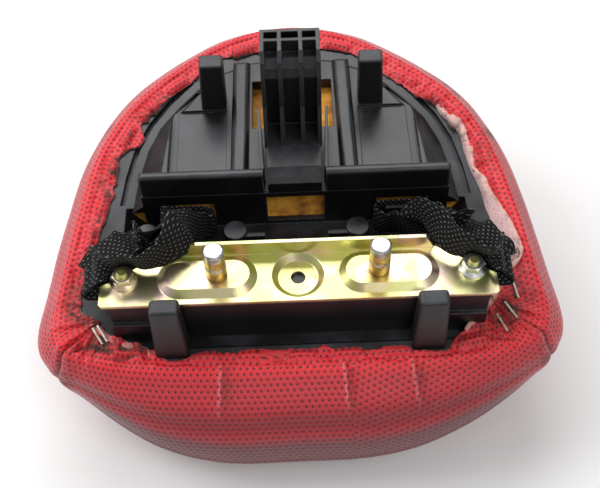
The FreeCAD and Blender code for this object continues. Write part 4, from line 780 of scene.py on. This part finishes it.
for sx, sy, turn in HIDDEN:
    a_, b_ = along_staple(sx, sy, turn)
    over = (1 - smooth01(np.abs(a_), 5.6, 9.5)) * np.exp(-(b_ / 2.6) ** 2)
    disp += np.where(tag < 1.2, 2.3 * over, 0)
    disp -= np.where(tag < 1.2, 0.9 * (1 - smooth01(np.abs(a_), 4.0, 9.0)) * np.exp(-((np.abs(b_) - 4.6) / 1.6) ** 2), 0)
for sx, sy, turn in SEEN:
    a_, b_ = along_staple(sx, sy, turn)
    press = (1 - smooth01(np.abs(a_), 5.2, 8.0)) * np.exp(-(b_ / 2.0) ** 2)
    disp -= np.where(tag < 1.2, 1.5 * press, 0)
    dirt += np.where(tag < 1.2, 0.8 * (1 - smooth01(np.abs(a_), 5.2, 9.0)) * np.exp(-(b_ / 3.2) ** 2), 0)
# lower seam all round: a groove with a turned lip on each side, dirt in it
arc_seam = v_len - v_len[i_crown][None, :]
side_zone = tag > 1.6
disp -= np.where(side_zone, 1.5 * np.exp(-(arc_seam / 0.9) ** 2), 0)
disp += np.where(side_zone, 0.55 * np.exp(-((np.abs(arc_seam) - 2.6) / 1.5) ** 2), 0)
dirt += np.where(side_zone, 0.9 * np.exp(-(arc_seam / 1.5) ** 2), 0)
gap_and_fold_shade += np.where(side_zone, 0.75 * np.exp(-(arc_seam / 0.6) ** 2), 0)


def u_at(x, y, row):
    return s_u[np.argmin((G[row, :, 0] - x) ** 2 + (G[row, :, 1] - y) ** 2)]


def du(u0):
    return np.mod(U - u0 + GIRTH / 2, GIRTH) - GIRTH / 2


wall_t = np.clip(tag - 1, 0, 2)
# corner seams between the front panel and the side band
for sx, sy, sign in ((-128.5, -31.5, 1), (132.5, -30.0, -1)):
    u0 = u_at(sx, sy, i_side + 12)
    curl = 5.0 * np.exp(-((wall_t - 0.0) / 0.35) ** 2) * sign
    d = (du(u0) + curl) * sign
    zone = smooth01(tag, 0.45, 0.75) * (tag < 3.0)
    disp -= zone * 2.2 * np.exp(-(d / 0.95) ** 2)
    disp += zone * 1.7 * np.exp(-((d - 5.5) / 4.5) ** 2) * (1 - 0.5 * smooth01(wall_t, 1.0, 2.0))
    disp += zone * 0.5 * np.exp(-((d + 4.0) / 2.5) ** 2)
    gap_and_fold_shade += zone * 0.9 * np.exp(-(d / 0.7) ** 2)
    dirt += zone * 0.75 * np.exp(-((d - 4.0) / 5.0) ** 2) * (0.4 + 0.6 * smooth01(wall_t, 0.2, 1.2))
# pleats in the front wall
for px_, width, lean_ in ((-42.5, 1.0, -0.04), (23.0, 1.15, 0.03), (58.5, 1.0, 0.08)):
    u0 = u_at(px_, -50, i_side + 14)
    d = du(u0) - lean_ * 60 * (wall_t - 0.3)
    zone = (1 - smooth01(wall_t, 0.45, 0.85)) * smooth01(tag, 0.55, 1.0) * (Y < 0)
    disp += zone * 1.15 * width * np.exp(-(d / 1.3) ** 2)
    disp -= zone * 1.1 * width * np.exp(-((d - 3.0) / 1.7) ** 2)
    # whitish line along each ridge: rubbed vinyl and a painted highlight
    rub_and_highlight += zone * 0.8 * np.exp(-(d / 0.6) ** 2)
    dirt += zone * 0.42 * np.exp(-((d - 4.2) / 2.6) ** 2)
# slits and folds of the flap, in plan, with painted shade in them
SLITS = [([(-100, -26.5), (-108, -22.5), (-116, -23.5), (-120, -26)], 2.6, 1.1, 1.0),
         ([(-121, -3), (-115, -9.5), (-109, -6.5)], 2.2, 0.9, 1.0),
         ([(-84, -28.5), (-96, -30.5), (-104, -29.0)], 1.4, 0.9, 0.8),
         ([(104, -9.5), (112, -8.0), (120, -12.5)], 2.4, 1.5, 0.7),
         ([(100, -15.5), (109, -17.5), (116, -16.5)], 1.8, 0.8, 0.9),
         ([(96, -24), (106, -27), (114, -27.5)], 1.5, 0.9, 0.6)]
for line, deep, wide_, black in SLITS:
    d, along = seg_dist(G, line)
    taper = np.sin(np.pi * np.clip(along, 0.04, 0.96)) ** 0.5
    zone = (tag > -0.5) & (tag < 1.6)
    disp -= np.where(zone, deep * taper * np.exp(-(d / wide_) ** 2), 0)
    disp += np.where(zone, 0.9 * taper * np.exp(-((d - 2.6 * wide_) / 1.6) ** 2), 0)
    # near black in the slits and folds is painted shade
    gap_and_fold_shade += np.where(zone, black * taper * np.exp(-(d / (wide_ * 0.75)) ** 2), 0)
# soiled places of the flap: centre, size along x and y, strength
SOIL = [(-121, 3, 5, 9, 1.0), (-117, -4, 6, 5, 1.0), (-114, 20, 3, 9, .9), (-109, 48, 4, 7, 1.0), (-107, 40, 4, 6, .7), (-106, 70, 4, 6, .9), (-110, 76, 3, 5, .6),
        (-104, 84, 4, 5, .9), (-96, 106, 4, 4, .9), (-88, 121, 6, 4, .8), (-76, 132, 5, 4, .9), (-108, -23, 7, 4, 1.0), (-96, -23, 9, 3.5, 1.0), (-86, -25, 9, 3.2, 1.0),
        (-104, -13, 5, 3, .7), (-119, 12, 3, 8, .8), (114, -8, 5, 4, .9), (108, -18, 6, 3, .8), (97, -20, 7, 4, .5), (123, -2, 4, 5, .8), (121, 12, 4, 8, .6), (108, 98, 4, 7, .6),
        (112, 84, 3, 8, .5), (88, -27, 8, 3.5, .55), (117, 30, 4, 9, .5), (-64, 146, 6, 3, .4), (104, 116, 4, 4, .3)]
for sx, sy, ax, ay, strength in SOIL:
    dirt += np.where(tag < 1.45, strength * np.exp(-(((X - sx) / ax) ** 2 + ((Y - sy) / ay) ** 2)), 0)
# a thin soiled line beside the cut edge
dirt += np.where((tag >= 0) & (tag < 1), 0.25 * (flap_in > 0.7), 0)
# scuffs on the outer silhouette
for sx, sy, size in ((-74, 168, 3.5), (-113, 117, 3.5), (101, 140, 6.0), (117, 104, 3.0)):
    dirt += np.where((tag > 1.1) & (tag < 2.6), 1.2 * np.exp(-((X - sx) ** 2 + (Y - sy) ** 2) / (2 * size ** 2)), 0)
# a brighter red over the flap and the top of the roll, and a painted highlight on the front wall above its crease
bright += np.where(tag < 1, 0.85, 0.85 * (1 - smooth01(tag, 1.0, 1.25)))
front = smooth01(-Y, -4, 30) * (tag > 1)
crease_arc = np.exp(-((wall_t - 1.0) / 0.22) ** 2) * smooth01(-Y, 25, 45)
bright += front * 0.15 * (1 - smooth01(wall_t, 0.9, 1.15))
# painted shade: the front wall below its crease and the crown, which face down
painted_low_shade += smooth01(-Y, 30, 50) * smooth01(wall_t, 1.12, 1.45) * (tag > 1)
painted_low_shade += 0.55 * smooth01(tag, 3.0, 3.3)
disp -= 1.3 * crease_arc
shade = 0.85 * np.exp(-((wall_t - 0.93) / 0.26) ** 2) * smooth01(-Y, 22, 42) * (tag > 1) * (tag < 3.25)
# cream cut edge on the right side
right_side = (G[3, :, 0] > 82) & (G[3, :, 1] > -21) & (G[3, :, 1] < 118)
edge_a[:5] = np.where(right_side[None, :], 1.0, 0.0)
edge_a[4] *= 0.6
edge_a[:3] = np.maximum(edge_a[:3], 0.35)
# the free edge curls up a little where it is cut loose
lift_u = np.where(right_side, 1.6, 0.35) + 0.9 * fbm(np.stack([s_u / 13.0, 0 * s_u, 0 * s_u], -1), 2, 31)
disp += np.where(tag < 1, flap_in ** 3, 0) * lift_u[None, :]
disp[0] = disp[1] = 0
disp[2] = disp[3] * 0.9
# stay on the floor
flat = smooth01(Z, -104.0, -96.0)
disp *= np.where(tag > 2.9, flat, 1.0)
shift = N0 * disp[..., None]
# keep the flap off the pan's flange
G1 = G + shift
low_limit = rim(G1[..., 1]) + 1.75
flap_zone = (tag < 0.8)
G1[..., 2] = np.where(flap_zone, np.maximum(G1[..., 2], low_limit), G1[..., 2])
G1[..., 2] = np.maximum(G1[..., 2], -104.0)

U_GORE = (u_at(24.5, -50, i_side + 14), u_at(131, -30, i_side + 12))
# cloth map: millimetres along the girth and down the cloth; the crown panel is mapped in plan
uv_u = U.copy()
uv_v = v_len.copy()


def cover_uv(quads):
    r = quads // NU
    c = quads % NU
    uu = uv_u.reshape(-1)[quads]
    vv = uv_v.reshape(-1)[quads]
    wrap = (c.max(1) == NU - 1) & (c.min(1) == 0)
    uu = np.where(wrap[:, None] & (c == 0), GIRTH, uu)
    crown = r.min(1) >= i_crown
    gore = (uu.min(1) > U_GORE[0]) & (uu.max(1) < U_GORE[1]) & (r.max(1) <= i_crown + 1) & (r.min(1) >= i_side - 6)
    ca, sa = math.cos(math.radians(21)), math.sin(math.radians(21))
    uu, vv = np.where(gore[:, None], ca * uu - sa * vv, uu), np.where(gore[:, None], sa * uu + ca * vv, vv)
    gx = G[..., 0].reshape(-1)[quads]
    gy = G[..., 1].reshape(-1)[quads]
    uu = np.where(crown[:, None], gx, uu)
    vv = np.where(crown[:, None], gy * 1.08, vv)
    return np.stack([uu, vv], -1).reshape(-1, 2)


cover = grid_object("cover_skin", G1, True, cover_uv,
                    {"dirt": np.clip(dirt, 0, 1), "bright": np.clip(bright, 0, 1), "painted_low_shade": np.clip(painted_low_shade, 0, 1),
                     "gap_and_fold_shade": np.clip(gap_and_fold_shade, 0, 1), "edge": np.clip(edge_a, 0, 1), "rub_and_highlight": np.clip(rub_and_highlight, 0, 1), "shade": np.clip(shade, 0, 1)}, vinyl_mat, FLIP)
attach(cover, "seat")
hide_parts("cover_top", "cover_front", "cover_side_band")

# ---------------------------------------------------------------- backing of the torn flap, right side
B_IN = [(80.0, 132.0), (84.0, 124.0), (86.6, 115.5), (91.5, 109.3), (95.5, 104.4), (97.3, 99.9), (97.7, 92.3), (99.4, 83.5), (100.4, 77.0), (103.4, 69.0),
        (105.4, 61.0), (106.2, 52.2), (109.0, 42.9), (113.5, 33.2), (115.5, 25.2), (115.4, 18.5), (113.5, 13.0)]
b_in = np.array(B_IN, float)
b_s = np.r_[0, np.cumsum(np.linalg.norm(np.diff(b_in, axis=0), axis=1))]
q = np.linspace(0, b_s[-1], 240)
b_xy = np.stack([np.interp(q, b_s, b_in[:, k]) for k in (0, 1)], 1)
for _ in range(30):
    b_xy[1:-1] = 0.25 * b_xy[:-2] + 0.5 * b_xy[1:-1] + 0.25 * b_xy[2:]
edge_line = G1[3, :, :]
matched = []
for point in b_xy:
    d = ((edge_line[:, :2] - point) ** 2).sum(1) + np.where(right_side, 0, 1e6)
    k = int(np.argmin(d))
    matched.append(edge_line[k] + (G1[4, k] - edge_line[k]) * 0.6)
matched = np.array(matched)
for _ in range(6):
    matched[1:-1] = 0.25 * matched[:-2] + 0.5 * matched[1:-1] + 0.25 * matched[2:]
across = matched[:, :2] - b_xy
width = np.linalg.norm(across, axis=1)
strip = []
N_B = 9
for k in range(N_B):
    t = k / (N_B - 1)
    xy = b_xy * (1 - t) + matched[:, :2] * t
    z_low = rim(xy[:, 1]) + 2.0
    z = z_low * (1 - t) + (matched[:, 2] - 0.5) * t + 1.1 * np.sin(np.pi * t) + 0.35 * fbm(np.c_[xy, 0 * t * xy[:, 0]] / 3.0, 2, 41)
    strip.append(np.c_[xy, np.maximum(z, rim(xy[:, 1]) + 1.7)])
strip = np.stack(strip)
under = strip[::-1].copy()
under[..., 2] -= 0.5
strip = np.concatenate([strip, under, strip[:1]])
b_dirt = np.zeros(strip.shape[:2])
for sx, sy, size in ((118, 22, 5), (100, 98, 4), (104, 74, 3), (93, 110, 3)):
    b_dirt += np.exp(-((strip[..., 0] - sx) ** 2 + (strip[..., 1] - sy) ** 2) / (2 * size ** 2))
backing = grid_object("flap_backing", strip, False, None, {"dirt": np.clip(b_dirt, 0, 1)}, backing_mat)
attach(backing, "seat")

# ---------------------------------------------------------------- foam
NX, NY = 150, 170
gx = np.linspace(-1, 1, NX)
gy = np.linspace(0, 1, NY)
fy = -30 + gy[:, None] * (176 + 30)
# half width of the foam inside the skin at each y
half_w = np.interp(fy[:, 0], [-34, -30, -18, 8, 36, 66, 92, 113, 133, 146.5, 160, 172.5, 178], [70, 100, 122, 122, 118, 112, 106, 97, 84, 71, 53, 30, 12])
fx = gx[None, :] * half_w[:, None]
fy = np.broadcast_to(fy, fx.shape)
top = rim(fy) - 3.4
inside_pocket = (np.abs(fx) < 90 + 0.3 * (top + 34)) & (fy > -26) & (fy < 60.4)
fz = np.where(inside_pocket, -37.2, top)
deck_zone = (fy >= 60.4) & (np.abs(fx) < 68 - np.clip(fy - 112, 0, 60) * 0.75) & (fy < 152)
fz = np.where(deck_zone, -12.4, fz)
lump = fbm(np.stack([fx / 9.0, fy / 9.0, 0 * fx], -1), 3, 51)
fz = fz + np.where(deck_zone, 0.7 * lump - 0.4, 0.4 * lump)
bottom = np.full(fx.shape, -60.0)
foam_grid = np.stack([fx, fy, fz], -1)
foam_low = np.stack([fx * 0.85, 60 + (fy - 60) * 0.85, bottom], -1)
foam_top = grid_object("foam_top", foam_grid, False, None, None, foam_mat)
ring_idx = [(r, 0) for r in range(NY)] + [(NY - 1, c) for c in range(1, NX)] + [(r, NX - 1) for r in range(NY - 2, -1, -1)] + [(0, c) for c in range(NX - 2, 0, -1)]
ring_top = np.array([foam_grid[r, c] for r, c in ring_idx])
ring_mid = np.array([foam_grid[r, c] * (1, 1, 0) + foam_low[r, c] * (0, 0, 1) for r, c in ring_idx])
hub = ring_mid * 0.02 + np.array([0.0, 58.8, -60.0]) * 0.98
skirt = np.stack([ring_top, ring_mid, 0.5 * (ring_mid + hub), hub])
foam_side = grid_object("foam_body", skirt, True, None, None, foam_mat)
for piece in (foam_top, foam_side):
    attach(piece, "seat")
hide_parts("foam_cushion")

# ---------------------------------------------------------------- webbing


# Stations of the loops: centre and width direction.
LOOP_RIGHT = [
    ((106.2, 4.0, 3.3), (0.00, 1.00, 0.00)),
    ((102.8, 2.6, 11.2), (0.00, 0.60, 0.80)),
    ((98.4, 0.8, 12.7), (0.03, -0.34, 0.94)),
    ((91.0, 4.8, 12.6), (0.01, -0.34, 0.94)),
    ((84.7, 4.7, 14.4), (0.14, -0.03, 0.99)),
    ((77.4, 10.3, 15.0), (0.30, 0.09, 0.95)),
    ((73.8, 16.5, 15.6), (0.38, 0.05, 0.92)),
    ((67.5, 25.0, 13.5), (0.20, -0.10, 0.97)),
    ((62.3, 33.0, -4.6), (0.06, -0.32, 0.94)),
    ((55.0, 42.9, -18.8), (-0.04, -0.21, 0.98)),
    ((48.3, 45.2, -19.6), (0.00, -0.10, 1.00)),
    ((44.0, 48.6, -20.2), (0.00, 0.00, 1.00)),
    ((45.0, 52.0, -20.6), (0.00, 0.00, 1.00)),
    ((48.6, 53.2, -21.0), (0.00, 0.00, 1.00)),
    ((70.8, 53.2, -20.2), (0.00, 0.00, 1.00)),
    ((74.3, 51.6, -19.4), (0.00, 0.08, 1.00)),
    ((75.2, 48.8, -17.8), (-0.05, -0.22, 0.97)),
    ((77.5, 46.4, -13.0), (-0.13, -0.58, 0.80)),
    ((81.6, 39.6, -5.6), (-0.14, -0.57, 0.81)),
    ((85.0, 29.2, 1.2), (0.02, -0.38, 0.92)),
    ((88.5, 27.8, 1.2), (0.22, 0.36, 0.91)),
    ((91.2, 27.8, -3.0), (0.36, 0.86, -0.35)),
    ((96.1, 20.8, 1.6), (0.49, 0.87, -0.06)),
    ((101.4, 13.4, 1.7), (0.50, 0.86, -0.09)),
    ((104.6, 8.6, 2.2), (0.40, 0.92, -0.02)),
    ((106.2, 5.0, 1.5), (0.00, 1.00, 0.00)),
]
LOOP_LEFT = [
    ((-106.2, 4.0, 3.3), (0.00, 1.00, 0.00)),
    ((-101.8, 3.8, 11.2), (0.00, 0.60, 0.80)),
    ((-94.9, 2.9, 13.0), (0.03, -0.26, 0.96)),
    ((-88.1, 4.6, 12.7), (0.03, -0.36, 0.93)),
    ((-80.5, 2.2, 12.6), (-0.04, -0.26, 0.96)),
    ((-72.6, 5.0, 13.5), (-0.14, -0.09, 0.99)),
    ((-65.8, 8.7, 14.1), (-0.28, 0.03, 0.96)),
    ((-62.5, 10.5, 17.5), (-0.45, 0.10, 0.89)),
    ((-59.5, 18.2, 19.9), (-0.60, 0.26, 0.76)),
    ((-57.0, 25.5, 9.5), (-0.20, -0.10, 0.97)),
    ((-54.1, 35.3, -8.1), (-0.05, -0.15, 0.99)),
    ((-49.5, 45.6, -20.5), (-0.05, 0.00, 1.00)),
    ((-45.9, 48.4, -20.5), (0.00, 0.00, 1.00)),
    ((-46.1, 51.4, -20.8), (0.00, 0.00, 1.00)),
    ((-49.3, 53.2, -21.0), (0.00, 0.00, 1.00)),
    ((-70.8, 53.2, -20.2), (0.00, 0.00, 1.00)),
    ((-74.3, 51.6, -19.4), (0.00, 0.08, 1.00)),
    ((-75.0, 48.4, -18.0), (0.05, -0.22, 0.97)),
    ((-74.7, 43.8, -12.6), (0.14, -0.57, 0.81)),
    ((-77.0, 33.2, -4.9), (0.15, -0.56, 0.81)),
    ((-78.9, 23.1, 5.4), (0.18, -0.27, 0.94)),
    ((-82.5, 25.5, 1.8), (-0.05, 0.40, 0.91)),
    ((-86.3, 26.0, -1.5), (-0.16, 0.94, -0.30)),
    ((-91.6, 20.4, 2.6), (-0.28, 0.96, -0.04)),
    ((-97.4, 16.5, 2.2), (-0.32, 0.94, -0.07)),
    ((-102.4, 11.6, 2.1), (-0.33, 0.94, -0.02)),
    ((-106.2, 5.0, 1.5), (0.00, 1.00, 0.00)),
]


def strap(side):
    """Near leg out of the fold, round behind the tab, far leg back to the fold."""
    sign = 1.0 if side == "right" else -1.0
    path = LOOP_RIGHT if sign > 0 else LOOP_LEFT
    centre_ = np.array([p[0] for p in path], float)
    across_ = np.array([p[1] for p in path], float)
    seg = np.linalg.norm(np.diff(centre_, axis=0), axis=1) ** 0.75
    kn = np.r_[0, np.cumsum(seg)]
    count = 420
    s = np.linspace(0, kn[-1], count)

    def interp(values):
        return catmull(kn, values, s)
    cc = interp(centre_)
    aa = interp(across_)
    aa /= np.linalg.norm(aa, axis=1, keepdims=True)
    tangent = np.gradient(cc, axis=0)
    tangent /= np.linalg.norm(tangent, axis=1, keepdims=True)
    aa -= tangent * (aa * tangent).sum(1, keepdims=True)
    aa /= np.linalg.norm(aa, axis=1, keepdims=True)
    nn = np.cross(aa, tangent)
    arc = np.r_[0, np.cumsum(np.linalg.norm(np.diff(cc, axis=0), axis=1))]
    # section: rounded edges, slightly thinner towards them
    ww, tt = 10.0, 0.68
    prof = []
    for t in np.linspace(-1, 1, 15):
        prof.append((t * ww, tt * (1 - 0.5 * abs(t) ** 8)))
    for t in np.linspace(1, -1, 15):
        prof.append((t * ww, -tt * (1 - 0.5 * abs(t) ** 8)))
    prof = np.array(prof)
    cup = 0.35 * np.sin(arc / 17.0)[:, None] * (1 - (prof[None, :, 0] / ww) ** 2)
    wavy = 0.12 * fbm(np.stack([arc[:, None] / 7.0 + 0 * prof[None, :, 0], prof[None, :, 0] / 6.0 + 0 * arc[:, None], np.zeros((count, len(prof)))], -1), 2, 61 if sign > 0 else 67)
    grid = cc[:, None, :] + aa[:, None, :] * prof[None, :, 0, None] + nn[:, None, :] * (prof[None, :, 1] + cup + wavy)[..., None]
    obj_uv = None

    def uv(quads):
        cols = len(prof)
        r = quads // cols
        c = quads % cols
        return np.stack([prof[c, 0] + np.where(c >= 15, 0.5, 0.0), arc[r]], -1).reshape(-1, 2)
    return grid_object("strap_webbing_" + side, grid, True, uv, None, webbing_mat)


def catmull(kn, values, s):
    """Cubic Hermite through values at knots kn, with finite difference slopes."""
    slopes = np.zeros_like(values)
    d = np.diff(values, axis=0) / np.diff(kn)[:, None]
    slopes[1:-1] = (d[:-1] * np.diff(kn)[1:, None] + d[1:] * np.diff(kn)[:-1, None]) / (np.diff(kn)[1:] + np.diff(kn)[:-1])[:, None]
    slopes[0], slopes[-1] = d[0], d[-1]
    k = np.clip(np.searchsorted(kn, s, side="right") - 1, 0, len(kn) - 2)
    h = (kn[k + 1] - kn[k])[:, None]
    t = (s - kn[k])[:, None] / h
    return ((2 * t ** 3 - 3 * t ** 2 + 1) * values[k] + (t ** 3 - 2 * t ** 2 + t) * h * slopes[k]
            + (-2 * t ** 3 + 3 * t ** 2) * values[k + 1] + (t ** 3 - t ** 2) * h * slopes[k + 1])


def tail(side):
    """Clamped tail: flat under the plate, round its end and up to the fold."""
    sign = 1.0 if side == "right" else -1.0
    line = np.array([(79, -3.6), (90, -3.6), (100, -3.6), (105.5, -3.6), (108.6, -3.1), (110.1, -1.6), (110.2, 0.0), (109.2, 1.5), (107.3, 2.2), (105.4, 2.3)], float)
    kn = np.r_[0, np.cumsum(np.linalg.norm(np.diff(line, axis=0), axis=1))]
    s = np.linspace(0, kn[-1], 80)
    pts = catmull(kn, line, s)
    tang = np.gradient(pts, axis=0)
    tang /= np.linalg.norm(tang, axis=1, keepdims=True)
    nn = np.stack([-tang[:, 1], tang[:, 0]], 1)
    prof = [(t * 10.0, 0.7 * (1 - 0.5 * abs(t) ** 8)) for t in np.linspace(-1, 1, 13)] + [(t * 10.0, -0.7 * (1 - 0.5 * abs(t) ** 8)) for t in np.linspace(1, -1, 13)]
    prof = np.array(prof)
    grid = np.zeros((80, len(prof), 3))
    grid[..., 0] = sign * (pts[:, None, 0] + nn[:, None, 0] * prof[None, :, 1])
    grid[..., 2] = pts[:, None, 1] + nn[:, None, 1] * prof[None, :, 1]
    grid[..., 1] = 1.0 + prof[None, :, 0] + 2.2 * smooth01(s, kn[-1] - 9, kn[-1])[:, None]

    def uv(quads):
        cols = len(prof)
        return np.stack([prof[quads % cols, 0], s[quads // cols]], -1).reshape(-1, 2)
    return grid_object("strap_end_" + side, grid, True, uv, None, webbing_mat)


for side, body in (("left", "strap_left"), ("right", "strap_right")):
    piece = strap(side)
    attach(piece, body)
    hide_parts("strap_loop_" + side)
    end = tail(side)
    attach(end, "seat")
    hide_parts("strap_tail_" + side)
